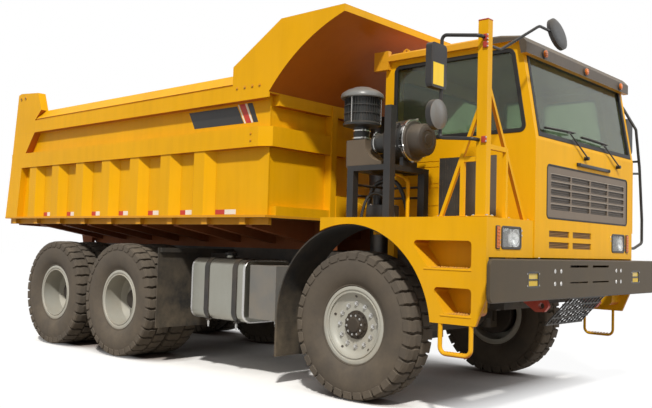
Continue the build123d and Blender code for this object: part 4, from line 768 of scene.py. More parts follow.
def add_ring(bm, corners, corner_radius, width, depth, sink=0.0, grow=0.012, index=0, edge=0.003):
    """A flat ring round an outline, standing out along the outline's normal."""
    face = bm.faces.new([bm.verts.new(c) for c in corners])
    face.normal_update()
    out = face.normal.copy()
    if corner_radius:
        rounded = bmesh.ops.bevel(bm, geom=list(face.verts), offset=corner_radius,
                                  offset_type="OFFSET", segments=6, profile=0.5,
                                  affect="VERTICES", clamp_overlap=True, material=-1)
        verts = set(rounded["verts"])
        face = next(f for v in verts for f in v.link_faces if len(f.verts) == len(verts))
    face.normal_update()
    if grow:
        bmesh.ops.inset_individual(bm, faces=[face], thickness=-grow, use_even_offset=True)
        trim = [f for e in face.edges for f in e.link_faces if f is not face]
        bmesh.ops.delete(bm, geom=list(set(trim)), context="FACES_ONLY")
    before = set(bm.faces)
    bmesh.ops.inset_individual(bm, faces=[face], thickness=width + grow, use_even_offset=True)
    ring = [f for f in bm.faces if f not in before]
    bmesh.ops.delete(bm, geom=[face], context="FACES_ONLY")
    verts = list({v for f in ring for v in f.verts})
    bmesh.ops.translate(bm, verts=verts, vec=-out * sink)
    raised = bmesh.ops.extrude_face_region(bm, geom=ring)["geom"]
    top = {v for v in raised if isinstance(v, bmesh.types.BMVert)}
    bmesh.ops.translate(bm, verts=list(top), vec=out * (depth + sink))
    bmesh.ops.delete(bm, geom=[v for v in bm.verts if not v.link_faces], context="VERTS")
    flat = {f for v in top for f in v.link_faces
            if abs(f.normal.dot(out)) > 0.9 or top.issuperset(f.verts)}
    if edge:
        rim = {e for f in flat for e in f.edges if any(g not in flat for g in e.link_faces)}
        bevel(bm, list(rim), edge, 1)
    for f in bm.faces:
        if f not in before:
            f.material_index = index


def upright(x, ys, zs):
    """Corners of an upright rectangle across the truck; ys from low to high faces ahead."""
    return [(x, ys[0], zs[0]), (x, ys[1], zs[0]), (x, ys[1], zs[1]), (x, ys[0], zs[1])]


def side_window(rear, front, low, high, y, leans=True):
    """Corners of a side window, in turn so that its face looks outwards."""
    lean = pillar_lean * (high - low) / (roof_z - belt_z) if leans else 0.0
    corners = [(at(rear), y, low), (at(front), y, low), (at(front) - lean, y, high),
               (at(rear), y, high)]
    return corners if y < 0 else corners[::-1]


seal_rubber = weathered("seal_rubber", (0.012, 0.012, 0.012), 0.55, 0.25, 0.1, gloss=0.3)
screen = [(pillar_x(z), y, z) for _, y, z in upright(0, (-0.650, 1.430), (2.430, 3.180))]
seals = [  # name, corners, corner radius, width
    ("seal_right_window", side_window(-0.090, 1.350, 2.465, 3.210, cab_right), 0.060, 0.026),
    ("seal_left_quarter", side_window(-0.090, 0.270, 2.465, 3.180, cab_left, False), 0.060,
     0.022),
    ("seal_door_window", side_window(0.400, 1.150, 2.470, 3.120, cab_left), 0.060, 0.024),
    ("seal_windscreen", screen, 0.0, 0.030),
    ("seal_rear_window", upright(cab_rear, (1.250, -0.470), (2.500, 3.120)), 0.060, 0.022),
]
for name, corners, corner_radius, width in seals:
    bm = bmesh.new()
    add_ring(bm, corners, corner_radius, width, 0.006, 0.018)
    bmesh.ops.recalc_face_normals(bm, faces=bm.faces)
    body = "cab_door" if "door" in name else "chassis"
    piece(bm, name, seal_rubber, 40, body)

# %% [markdown]
# Two long wipers lie at the foot of the windscreen. An arm is two slim bars
# with a round pivot at its foot, and the blade hangs from the arm on a small
# yoke. The black bar below them carries the pivots.

# %% Wipers
bm = bmesh.new()
wiper_paths = [  # (y, z) of pivot, knee and the blade's two ends
    ((0.280, 2.310), (-0.070, 2.510), (-0.560, 2.506), (0.050, 2.530)),
    ((1.050, 2.300), (0.700, 2.480), (0.200, 2.510), (0.790, 2.500)),
]
for path in wiper_paths:
    foot, bend, tip, heel = (Vector((pillar_x(z) + 0.034, y, z)) for y, z in path)
    base = foot - Vector((0.034, 0, 0))
    add_bar(bm, base - Vector((0.01, 0, 0)), base + Vector((0.046, 0, 0)), 0.021, 18, 0.017, 0.003)
    run, middle = tip - heel, (heel + tip) / 2
    yoke = middle + Vector((0.012, 0, 0))
    add_bar(bm, foot, bend, 0.0075, 10)
    add_bar(bm, bend, bend + run * 0.10, 0.0065, 10)
    add_bar(bm, heel, yoke, 0.005, 8)
    add_bar(bm, yoke, tip, 0.005, 8)
    turn = Matrix.Translation(middle - Vector((0.010, 0, 0))) @ aim(run, LEFT)
    half = run.length / 2
    add_block(bm, (-0.013, -half, -0.006), (0.003, half, 0.006), 0.002, 1, 1, turn)
    add_block(bm, (-0.020, -half, -0.0025), (-0.012, half, 0.0025), 0.001, 1, 1, turn)
for y in (0.13, 0.82):
    add_bolt(bm, (cab_front + 0.022, y, 2.238), AHEAD, 0.012, 0.008)
add_block(bm, (cab_front - 0.004, 0.10, 2.222), (cab_front + 0.022, 0.85, 2.254), 0.006, 2)
piece(bm, "wipers", [black_steel, seal_rubber], 35)

# %% [markdown]
# ## Lamps
#
# A headlamp is a deep black bowl with two chromed reflectors, a bulb in each
# and a clear glass in front. The reflectors are spun like bowls on a lathe.
# What makes a lamp look real is that light goes in and comes back from the
# reflector, so we model that and don't paint it.

# %% Headlamps
chrome = weathered("chrome", (0.80, 0.80, 0.79), 0.10, 0.12, 0.05, metallic=1.0, bump=0.02)
lamp_low, lamp_high = 1.425, 1.600
lamp_inner, lamp_outer = 0.950, 1.268
lamp_sides = (("right", -1, at(1.440)), ("left", 1, cab_front))
# (share of the radius, share of the depth), with the wall's back
bowl = [(0.0, 0.010), (0.45, 0.14), (0.78, 0.44), (1.0, 1.0), (1.07, 1.0), (0.84, 0.36),
        (0.50, 0.04), (0.0, -0.08)]
bowl_radius, bowl_depth = 0.068, 0.034


def lathe(bm, outline, centre, axis, index=0, steps=64):
    """Turns an outline of (along the axis, radius) that starts and ends on the axis."""
    centre, axis = Vector(centre), Vector(axis).normalized()
    side = axis.orthogonal().normalized()
    turn_part(bm, [centre + axis * h + side * r for h, r in outline], centre, axis, index, steps)


for name, side, front in lamp_sides:
    bm = bmesh.new()
    left, right = ys = span(side, lamp_inner, lamp_outer)
    # the back of the recess, then the bezel
    add_block(bm, (front - 0.046, left + 0.001, lamp_low + 0.001),
              (front - 0.040, right - 0.001, lamp_high - 0.001), 0.0)
    add_ring(bm, upright(front, ys, (lamp_low, lamp_high)), 0.022, 0.012, 0.007, 0.030, 0.008)
    z = (lamp_low + lamp_high) / 2
    for y in (left + 0.084, right - 0.084):
        lathe(bm, [((h - 1) * bowl_depth, r * bowl_radius) for r, h in bowl],
              (front - 0.004, y, z), AHEAD, 1, 40)
        add_bar(bm, (front - 0.036, y, z), (front - 0.016, y, z), 0.010, 16, 0.008, 0.002, 3)
        add_bar(bm, (front - 0.016, y, z), (front - 0.008, y, z), 0.013, 16, 0.010, 0.002, 1)
    # chromed panel between and around the bowls
    middle_y = (left + right) / 2
    add_block(bm, (front - 0.012, middle_y - 0.009, lamp_low + 0.010),
              (front - 0.004, middle_y + 0.009, lamp_high - 0.010), 0.002, 1, 1)
    for z in (lamp_low + 0.006, lamp_high - 0.014):
        add_block(bm, (front - 0.014, left + 0.008, z), (front - 0.006, right - 0.008, z + 0.008),
                  0.001, 1, 1)
    for number in range(4):
        y = lamp_outer + 0.022 if number < 2 else lamp_inner - 0.022
        z = lamp_low + 0.025 + number * 0.042
        add_bolt(bm, (front, side * y, z), AHEAD, 0.006, 0.004, 2)
    lamp = piece(bm, "headlamp_" + name, [black_plastic, chrome, bright_steel, lamp_glass])
    # the glass is a thin plate in the bezel
    bm = bmesh.new()
    add_block(bm, (front - 0.002, left + 0.010, lamp_low + 0.010),
              (front + 0.003, right - 0.010, lamp_high - 0.010), 0.0018, 2)
    glass = piece(bm, "headlamp_glass_" + name, lamp_glass)
    for obj in (lamp, glass):
        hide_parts("headlamps")

# %% [markdown]
# The side indicator is a narrow amber lens with cross ribs, and the fog lamps
# in the bumper have a black bezel and a cross bar. Markers on the visor are
# round domes in a dark ring.

# %% Small lamps
bm = bmesh.new()
for _, side, front in lamp_sides:
    left, right = ys = span(side, 1.310, 1.360)
    for number in range(6):
        z = lamp_low + 0.012 + number * 0.0275
        add_block(bm, (front + 0.013, left + 0.006, z), (front + 0.018, right - 0.006, z + 0.012),
                  0.002, 1, 1)
    add_ring(bm, upright(front, ys, (lamp_low, lamp_high)), 0.006, 0.004, 0.010, 0.004, 0.007)
piece(bm, "indicator_frames", [black_plastic, amber_lens])

nose = at(1.640)
bm = bmesh.new()
for side in (1, -1):
    y = side * 1.095
    add_ring(bm, upright(nose, (y - 0.088, y + 0.088), (1.119, 1.233)), 0.010, 0.006, 0.0006,
             0.012, 0.010, 0, 0.0003)
    add_block(bm, (nose - 0.010, y - 0.086, 1.170), (nose - 0.001, y + 0.086, 1.182), 0.002)
    for number in range(9):
        place = y - 0.072 + number * 0.018
        add_block(bm, (nose - 0.009, place - 0.004, 1.124), (nose - 0.005, place + 0.004, 1.168),
                  0.001, 1, 1)
    for dy in (-0.100, 0.100):
        for z in (1.128, 1.224):
            add_bar(bm, (nose - 0.003, y + dy, z), (nose + 0.0004, y + dy, z), 0.007, 12, index=2)
piece(bm, "fog_lamp_frames", [black_plastic, fog_lens, bright_steel])

bm = bmesh.new()
visor_front, marker_z = at(1.372), 3.196
for y in (-0.430, 0.450, 1.310):
    for back, front, wide, narrow, width, index in ((-0.002, 0.010, 0.044, 0.041, 0.003, 0),
                                                    (0.020, 0.030, 0.031, 0.020, 0.004, 1)):
        add_bar(bm, (visor_front + back, y, marker_z), (visor_front + front, y, marker_z),
                wide, 28, narrow, width, index)
piece(bm, "marker_rims", [black_plastic, amber_lens])

# the work lamp on the roof: a tray, a yoke and a flat housing
bm = bmesh.new()
add_block(bm, (at(0.62), 0.70, 3.338), (at(0.78), 0.86, 3.350), 0.003)
for y in (0.705, 0.855):
    add_block(bm, (at(0.67), y - 0.004, 3.345), (at(0.71), y + 0.004, 3.405), 0.002)
add_block(bm, (at(0.66), 0.712, 3.362), (at(0.76), 0.848, 3.425), 0.010, 2)
add_block(bm, (at(0.757), 0.722, 3.372), (at(0.765), 0.838, 3.415), 0.003, 1, 1)
for number in range(5):
    x = at(0.668) + number * 0.014
    add_block(bm, (x, 0.708, 3.360), (x + 0.005, 0.852, 3.428), 0.001)
piece(bm, "roof_work_lamp", [black_plastic, lamp_glass])

# %% [markdown]
# ## Nose
#
# The bumper is bolted to its arms through the plate, and the big grille gets
# its inner slats. Each slat is a thin plate with its edges rounded, and we put
# a rubber seal round the grille.

# %% Bumper bolts and nose slats
bm = bmesh.new()
for side in (1, -1):
    for y in (0.597, 0.711):
        for z in (1.137, 1.243):
            for proud, radius, sides in ((0.0002, 0.019, 20), (0.0006, 0.012, 6)):
                add_bar(bm, (nose - 0.004, side * y, z), (nose + proud, side * y, z), radius, sides)
piece(bm, "bumper_bolts", bright_steel)

bm = bmesh.new()
grille_face = cab_front - 0.002
grille_low, grille_high, rows = 1.705, 2.184, 5
for number in range(rows):
    middle = grille_low + 0.070 + (number + 0.5) * (grille_high - grille_low - 0.140) / rows
    for z in (middle - 0.018, middle, middle + 0.018):
        add_block(bm, (grille_face - 0.012, -0.425, z - 0.0025),
                  (grille_face - 0.004, 1.262, z + 0.0025), 0.001)
    # a bright lip along the top of each row
    add_block(bm, (grille_face - 0.003, -0.425, middle + 0.026),
              (grille_face + 0.001, 1.262, middle + 0.030), 0.001, 1, 1)
add_ring(bm, upright(cab_front, (-0.500, 1.335), (grille_low, grille_high)), 0.040, 0.010, 0.004,
         0.012, 0.006, 2)
lip_grey = weathered("lip_grey", (0.36, 0.33, 0.29), 0.4, 0.3, 0.3)
piece(bm, "grille_slats", [black_steel, lip_grey, seal_rubber])

# %% [markdown]
# The louvres on the cab's side are closed by fine screens, one dark and one
# brown, and the four small vents of the nose get sloping slats.

# %% Louvre screens and vent slats
screen_dark = weathered("screen_dark", (0.034, 0.033, 0.031), 0.5, 0.35, 0.3)
screen_brown = weathered("screen_brown", (0.100, 0.085, 0.070), 0.5, 0.45, 0.3)
bm = bmesh.new()
for index, low, high in ((0, at(0.456), at(0.700)), (1, at(0.740), at(1.070))):
    add_block(bm, (low + 0.004, cab_right + 0.0004, 1.719),
              (high - 0.004, cab_right + 0.0018, 2.261), 0.0005, 1, index)
    for number in range(9):
        x = low + (high - low) * (number + 0.5) / 9
        add_block(bm, (x - 0.002, cab_right - 0.0006, 1.727),
                  (x + 0.002, cab_right + 0.0008, 2.253), 0.0003, 1, index)
piece(bm, "louvre_screens", [screen_dark, screen_brown])

bm = bmesh.new()
for low, high in ((1.437, 1.494), (1.539, 1.595)):
    for left, right in ((-0.448, -0.040), (0.035, 0.447)):
        add_block(bm, (cab_front - 0.024, left + 0.001, low + 0.001),
                  (cab_front - 0.019, right - 0.001, high - 0.001), 0.0, 1, 1)
        half = (right - left) / 2 - 0.003
        for number in range(4):
            z = low + 0.008 + number * (high - low - 0.016) / 3
            middle = Matrix.Translation((cab_front - 0.013, (left + right) / 2, z))
            add_block(bm, (-0.009, -half, -0.002), (0.009, half, 0.002), 0.001, 1, 0,
                      middle @ Matrix.Rotation(radians(28), 4, "Y"))
vent_brown = weathered("vent_brown", (0.30, 0.150, 0.035), 0.5, 0.4, 0.3)
piece(bm, "vent_slats", [vent_brown, black_steel])

# %% [markdown]
# ## Bed details
#
# Each bay between two ribs carries a red and a white reflector, the cheeks of
# the canopy are bolted on, and the side has a plain black band with slanted
# stripes. A sticker is nothing but a very thin plate: one face from four
# corners, given a thickness along its own normal.

# %% Reflectors and stripes
def add_plate(bm, corners, thickness, index=0, rim=0.0):
    """A thin flat plate whose corners run so that its face looks outwards."""
    face = bm.faces.new([bm.verts.new(c) for c in corners])
    face.normal_update()
    out = face.normal.copy()
    before = set(bm.faces) - {face}
    raised = bmesh.ops.extrude_face_region(bm, geom=[face])["geom"]
    top = [v for v in raised if isinstance(v, bmesh.types.BMVert)]
    bmesh.ops.translate(bm, verts=top, vec=out * thickness)
    if rim:
        lid = next(f for f in raised if isinstance(f, bmesh.types.BMFace))
        bevel(bm, list(lid.edges), rim, 1)
    for f in bm.faces:
        if f not in before:
            f.material_index = index


def side_plate(bm, outline, side, thickness, index, rim=0.0):
    """A plate on the bed's side sheet, from an outline of (ahead, z)."""
    corners = [(at(x), side * sheet_out, z) for x, z in outline]
    add_plate(bm, corners if side < 0 else corners[::-1], thickness, index, rim)


sticker_black = weathered("sticker_black", (0.018, 0.018, 0.018), 0.35, 0.2, 0.1)
sticker_red = weathered("sticker_red", (0.50, 0.030, 0.015), 0.3, 0.2, 0.1)
sticker_white = weathered("sticker_white", (0.78, 0.76, 0.70), 0.3, 0.25, 0.1)
rib_first, rib_pitch, rib_slope, rib_face = -5.720, 0.613, 0.110, 0.180
sheet_out = 1.454

bm = bmesh.new()
for side in (-1, 1):
    for bay in range(7):
        start = rib_first + bay * rib_pitch + rib_slope + 0.004
        length = rib_pitch - rib_face - 2 * rib_slope - 0.008 if bay < 6 else 0.33
        split = start + length * 0.46
        for low, high, index in ((start, split, 0), (split, start + length, 1)):
            side_plate(bm, [(low, 1.708), (high, 1.708), (high, 1.760), (low, 1.760)], side,
                       0.002, index, 0.0008)
piece(bm, "bed_reflectors", [sticker_red, sticker_white], 30, "bed")

bm = bmesh.new()
stripes = [  # corners of each stripe, and its colour: 0 black, 1 red, 2 white
    ([(-2.443, 2.858), (-2.336, 2.669), (-1.517, 2.667), (-1.632, 2.856)], 0),
    ([(-1.622, 2.873), (-1.505, 2.665), (-1.487, 2.665), (-1.604, 2.873)], 2),
    ([(-1.594, 2.873), (-1.477, 2.665), (-1.402, 2.665), (-1.512, 2.873)], 1),
    ([(-1.508, 2.873), (-1.398, 2.665), (-1.374, 2.665), (-1.478, 2.873)], 2),
    ([(-1.470, 2.873), (-1.366, 2.665), (-1.297, 2.665), (-1.394, 2.873)], 0),
]
for side in (-1, 1):
    for outline, index in stripes:
        side_plate(bm, outline, side, 0.0015, index)
piece(bm, "bed_stripes", [sticker_black, sticker_red, sticker_white], 30, "bed")

# %% [markdown]
# Bolts hold the canopy's cheeks, beads of weld run along the seams and the
# ribs' feet, and the tail lamps get a black frame. A weld is a thin bar that is
# half sunk in the sheet, which is enough to catch the light as a bead does.

# %% Bed bolts, welds and tail lamps
bm = bmesh.new()
for side in (-1, 1):
    for x in (-1.533, -1.414, -1.298, -1.189):
        add_bolt(bm, (at(x), side * 1.550, 3.021), (0, side, 0), 0.013, 0.011)
    # lifting eyes at the top of the tail post
    for x in (at(-6.22), at(-6.10)):
        for low, high, radius, sides, width, index in ((1.5485, 1.556, 0.026, 20, 0.002, 0),
                                                       (1.550, 1.558, 0.013, 16, 0.0, 1)):
            add_bar(bm, (x, side * low, 3.395), (x, side * high, 3.395), radius, sides,
                    width=width, index=index)
    for z in (2.46, 2.53):
        add_bolt(bm, (at(-1.30), side * 1.551, z), (0, side, 0), 0.010, 0.009)
piece(bm, "bed_bolts", [yellow_inside, black_steel], 30, "bed")

bm = bmesh.new()
weld_y = sheet_out + 0.0005
for side in (-1, 1):
    for bay in range(7):
        edge = at(rib_first + bay * rib_pitch)
        for x in (edge + 0.106, edge - rib_face - 0.106):
            add_bar(bm, (x, side * weld_y, 1.70), (x, side * weld_y, 2.394), 0.0055, 6)
    for low, high, z in ((-6.30, -1.20, 2.602), (-6.20, -1.62, 2.8835)):
        add_bar(bm, (at(low), side * weld_y, z), (at(high), side * weld_y, z), 0.006, 6)
piece(bm, "bed_welds", yellow_paint, 60, "bed")

bm = bmesh.new()
tail_x = at(-6.120)
for side in (-1, 1):
    left, right = span(side, 0.300, 0.460)
    add_ring(bm, upright(tail_x, (right, left), (1.110, 1.230)), 0.010, 0.006, 0.004, 0.010, 0.003)
    for number in range(8):
        y = left + 0.014 + number * 0.0185
        add_block(bm, (tail_x - 0.003, y, 1.120), (tail_x + 0.001, y + 0.009, 1.220), 0.001, 1, 1)
piece(bm, "tail_lamp_frames", [black_plastic, red_lens])

# %% [markdown]
# ## Air intake
#
# Dusty air comes in under a mushroom cap, through upright vanes, and down a
# moulded elbow into the round air cleaner. The bodies are spun, the vanes are
# thin blades repeated round the axis, and clamps hold the parts together.

# %% Pre-cleaner and air cleaner
slate_plastic = weathered("slate_plastic", (0.019, 0.021, 0.022), 0.42, 0.25, 0.2, gloss=0.4)
cap_plastic = weathered("cap_plastic", (0.16, 0.165, 0.165), 0.32, 0.35, 0.3, gloss=0.5)
lid_brown = weathered("lid_brown", (0.052, 0.043, 0.035), 0.5, 0.5, 0.3)


def add_clamp(bm, centre, axis, radius, width, index, bolt):
    """A flat hose clamp with its tightening bolt."""
    centre, axis = Vector(centre), Vector(axis).normalized()
    lathe(bm, [(-width / 2, 0), (-width / 2, radius), (-width / 2 + 0.002, radius + 0.004),
               (width / 2 - 0.002, radius + 0.004), (width / 2, radius), (width / 2, 0)],
          centre, axis, index, 48)
    out = Vector(bolt).normalized()
    across = axis.cross(out)
    spot = centre + out * (radius + 0.012)
    for shift in (-0.016, 0.016):
        add_block(bm, (-0.006, -0.010, -0.010), (0.006, 0.010, 0.010), 0.002, 1, index,
                  Matrix.Translation(spot + across * shift))
    add_bar(bm, spot - across * 0.032, spot + across * 0.030, 0.0045, 8, index=index)


intake = Vector((at(-0.200), -1.100, 0))
bm = bmesh.new()
body = [(2.430, 0.0), (2.430, 0.080), (2.560, 0.083), (2.566, 0.150), (2.574, 0.184),
        (2.592, 0.186), (2.600, 0.176), (2.612, 0.166), (2.840, 0.160), (2.852, 0.166),
        (2.852, 0.0)]
cap = [(2.846, 0.0), (2.846, 0.196), (2.840, 0.206), (2.848, 0.2115), (2.860, 0.211),
       (2.884, 0.204), (2.900, 0.186), (2.922, 0.150), (2.930, 0.120), (2.933, 0.116),
       (2.948, 0.085), (2.957, 0.040), (2.959, 0.0)]
for index, outline in enumerate((body, cap)):
    lathe(bm, outline, intake, UP, index)
for number in range(40):
    turn = Matrix.Translation(intake) @ Matrix.Rotation(tau * number / 40, 4, "Z")
    add_block(bm, (0.160, -0.0025, 2.616), (0.175, 0.0025, 2.838), 0.0012, 1, 0, turn)
for z in (2.690, 2.765):
    lathe(bm, [(z - 0.006, 0.0), (z - 0.006, 0.172), (z - 0.004, 0.177), (z + 0.004, 0.177),
               (z + 0.006, 0.172), (z + 0.006, 0.0)], intake, UP)
for number in range(3):
    angle = tau * (number + 0.3) / 3
    foot = intake + Vector((0.183 * cos(angle), 0.183 * sin(angle), 2.594))
    add_bar(bm, foot, foot + Vector((0, 0, 0.256)), 0.0045, 8, index=2)
for z, radius, width in ((2.525, 0.084, 0.016), (2.452, 0.088, 0.018)):
    add_clamp(bm, intake + Vector((0, 0, z)), UP, radius, width, 2, (0.8, -0.6, 0))
obj = piece(bm, "dressed_pre_cleaner", [slate_plastic, cap_plastic, bright_steel],
            35)
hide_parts("pre_cleaner")

rear_end = Vector((at(0.196), -1.100, 2.390))
front_end = Vector((at(0.450), -1.100, 2.390))
bm = bmesh.new()
length = front_end.x - rear_end.x - 0.044
shell = [(-0.205, 0), (-0.205, 0.090), (-0.199, 0.095), (-0.150, 0.095), (-0.146, 0.090),
         (-0.120, 0.090), (-0.116, 0.095), (-0.004, 0.096), (0, 0.104), (0.002, 0.170),
         (0.008, 0.184), (0.018, 0.189), (0.060, 0.1895), (0.064, 0.186), (0.072, 0.186),
         (0.076, 0.1895), (0.118, 0.1895), (0.122, 0.186), (0.130, 0.186), (0.134, 0.1895),
         (length, 0.1895), (length, 0)]
ring = [(-0.046, 0), (-0.046, 0.196), (-0.042, 0.200), (-0.016, 0.200), (-0.012, 0.196),
        (-0.012, 0)]
lid = [(-0.014, 0), (-0.014, 0.186), (-0.002, 0.180), (0, 0.170), (0, 0.158), (0.006, 0.150),
       (0.108, 0.148), (0.126, 0.140), (0.134, 0.122), (0.139, 0.112), (0.1395, 0.088),
       (0.134, 0.082), (0.134, 0.052), (0.1395, 0.046), (0.1395, 0)]
for index, (outline, end) in enumerate(((shell, rear_end), (ring, front_end), (lid, front_end))):
    lathe(bm, outline, end, AHEAD, index)
for number in range(6):
    angle = tau * (number + 0.35) / 6
    out = Vector((0, cos(angle), sin(angle)))
    turn = Matrix.Translation(front_end + out * 0.200 - Vector((0.028, 0, 0))) @ aim(out)
    add_block(bm, (-0.030, -0.011, -0.004), (0.030, 0.011, 0.006), 0.003, 1, 1, turn)
    add_block(bm, (0.006, -0.007, 0.004), (0.026, 0.007, 0.011), 0.002, 1, 1, turn)
for ahead in (0.030, 0.160):
    add_clamp(bm, rear_end + Vector((ahead, 0, 0)), AHEAD, 0.1895, 0.022, 3, (0, -0.75, 0.66))
add_clamp(bm, rear_end - Vector((0.170, 0, 0)), AHEAD, 0.0955, 0.014, 1, (0, -0.6, 0.8))
obj = piece(bm, "dressed_air_cleaner", [slate_plastic, bright_steel, lid_brown, black_steel],
            35)
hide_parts("air_cleaner")

# %% [markdown]
# Two black pipes and a valve block stand on the deck beside the cab. A pipe is
# a curve with a round bevel that is then made a mesh, the short way to a tube
# that bends smoothly.

# %% Deck pipes and hoses
deck_pipes = {  # radius, and the line's points: ahead, y, z
    "deck_pipe_1": (0.021, [(-0.16, -1.02, 1.64), (-0.16, -1.02, 1.95), (-0.02, -0.98, 2.06),
                            (0.20, -0.94, 2.02), (0.26, -0.92, 1.64)]),
    "deck_pipe_2": (0.014, [(-0.02, -1.30, 1.64), (0.00, -1.28, 1.86), (0.10, -1.20, 1.93),
                            (0.24, -1.16, 1.80), (0.26, -1.14, 1.64)]),
}
for name, (radius, line) in deck_pipes.items():
    tube(name, [(at(x), y, z) for x, y, z in line], radius, black_plastic)
bm = bmesh.new()
add_block(bm, (at(-0.01), -1.22, 1.654), (at(0.22), -1.02, 1.80), 0.014, 2)
for x, high, radius in ((at(0.03), 1.92, 0.048), (at(0.15), 1.87, 0.038)):
    add_bar(bm, (x, -1.12, 1.79), (x, -1.12, high), radius, 24, width=0.006)
for x in (0.02, 0.19):
    for y in (-1.20, -1.04):
        add_bolt(bm, (at(x), y, 1.80), UP, 0.008, 0.007, 1)
for z in (1.88, 1.98):
    add_bar(bm, (at(-0.053), -1.385, z), (at(-0.053), -0.865, z), 0.012, 12)
    add_bar(bm, (at(-0.053), -0.86, z), (at(0.37), -0.86, z), 0.012, 12)
piece(bm, "deck_valves", [black_steel, bright_steel])

# %% [markdown]
# ## Tank, steps and guard
#
# The fuel tank's straps end in long bolts under the tank, its ends have
# rolled bright rims, and the filler has a cap. The step pockets get a lip and
# studs for grip, and the opening under the bumper is closed by a diamond mesh
# of thin bars, which we clip to the guard's outline.

# %% Tank dressing
tank_low, tank_high = box_of("fuel_tank")
tank_y, tank_z = (-1.330, -0.640), (0.560, 1.230)
middle_y, middle_z, inner_share = sum(tank_y) / 2, sum(tank_z) / 2, 0.62
bm = bmesh.new()
for x, order in ((tank_low.x, -1), (tank_high.x, 1)):
    corners = upright(x, tank_y, tank_z)[::order]
    add_ring(bm, corners, 0.110, 0.014, 0.004, 0.026, 0.004)
    corners = [(x, middle_y + (y - middle_y) * inner_share, middle_z + (z - middle_z) * inner_share)
               for _, y, z in corners]
    add_ring(bm, corners, 0.060, 0.012, 0.003, 0.002, 0.0)
cap_x, cap_y = tank_low.x + 0.160, -0.900
lathe(bm, [(1.262, 0.0), (1.262, 0.066), (1.268, 0.070), (1.290, 0.070), (1.296, 0.066),
           (1.298, 0.030), (1.298, 0.0)], (cap_x, cap_y, 0), UP, 1, 40)
for number in range(12):
    turn = Matrix.Translation((cap_x, cap_y, 1.278)) @ Matrix.Rotation(tau * number / 12, 4, "Z")
    add_block(bm, (0.067, -0.006, -0.012), (0.074, 0.006, 0.010), 0.003, 1, 1, turn)
add_block(bm, (cap_x - 0.050, cap_y - 0.008, 1.296), (cap_x + 0.050, cap_y + 0.008, 1.306),
          0.003, 1, 1)
piece(bm, "tank_rims", [bright_steel, black_plastic], 35)

bm = bmesh.new()
strap_foot = 0.552
for x in (tank_low.x + 0.265, tank_high.x - 0.155):
    for y in (-1.290, -0.700):
        foot = Vector((x, y, strap_foot))
        add_block(bm, foot - Vector((0.026, 0.020, 0.006)), foot + Vector((0.026, 0.020, 0.008)))
        # the bolt, then its two nuts
        for low, high, radius, sides, width in (
                (-0.075, 0.004, 0.0085, 12, 0.0), (-0.030, -0.014, 0.015, 6, 0.002),
                (-0.046, -0.032, 0.015, 6, 0.002)):
            add_bar(bm, foot + Vector((0, 0, low)), foot + Vector((0, 0, high)), radius, sides,
                    width=width, index=1)
piece(bm, "tank_strap_bolts", [black_steel, bright_steel], 35)

# %% [markdown]
# Muddy boots climb the step pockets, so their floors carry raised studs. A stud
# is a short cone, repeated in rows that are staggered as on real tread plate.

# %% Steps
bm = bmesh.new()
pockets = [(0.886, 1.305, 1.250), (1.057, 1.310, 0.875)]  # rear, front, floor
stud_pitch = 0.040
for side in (-1, 1):
    for rear, front, z in pockets:
        left, right = span(side, 1.502, 1.511)
        add_block(bm, (at(rear - 0.040), left, z - 0.020), (at(front + 0.004), right, z - 0.006),
                  0.0035, 2)
        left, right = span(side, 1.292, 1.500)
        add_block(bm, (at(rear + 0.030), left, z), (at(front - 0.020), right, z + 0.003),
                  0.001, 1, 1)
        for column in range(int((front - rear - 0.08) / stud_pitch)):
            for row in range(4):
                y = side * (1.320 + row * 0.048 + column % 2 * 0.020)
                spot = Vector((at(rear + 0.055 + column * stud_pitch), y, z + 0.002))
                add_bar(bm, spot, spot + Vector((0, 0, 0.007)), 0.0085, 8, 0.0060, index=1)
    # treads on the bent step under the wing
    rear, front, foot = (1.010, 1.303, 0.549) if side < 0 else (0.934, 1.251, 0.528)
    reach = Vector((0.007, 0.012, 0))
    for number in range(7):
        x = at(rear + 0.060 + number * (front - rear - 0.120) / 6)
        spot = Vector((x, side * 1.485, foot + 0.0195))
        add_bar(bm, spot - reach, spot + reach, 0.0035, 6)
piece(bm, "step_treads", [yellow_paint, yellow_inside], 35)

# %% [markdown]
# The mesh under the bumper keeps stones off the engine. We lay slanting bars
# both ways over the guard and end each one where it meets the guard's edge.

# %% Guard mesh
top, foot = Vector((at(1.560), 0, 0.997)), Vector((at(1.330), 0, 0.740))
slope = foot - top
length, width, left = slope.length, 0.750, -0.250


def guard_point(across, down):
    """A place on the guard, from its right edge and down its slope."""
    return top + slope * (down / length) + Vector((0.004, left + across, 0.0045))


bm = bmesh.new()
pitch = 0.047
for way in (1, -1):
    for number in range(-int(length / pitch) - 1, int(width / pitch) + 1):
        start = number * pitch
        near, far = max(0.0, start), min(width, start + length)
        if far - near > 0.02:
            ends = [guard_point(across, across - start if way > 0 else start + length - across)
                    for across in (near, far)]
            add_bar(bm, *ends, 0.0028, 5)
piece(bm, "guard_mesh", black_steel, 60)

# %% [markdown]
# ## Doors, mirrors and rails
#
# The small fittings decide whether a cab looks usable: the door's handle and
# hinges, a gutter over it, the mirrors' glass with its rim, and bolts on the
# feet of the handrails.

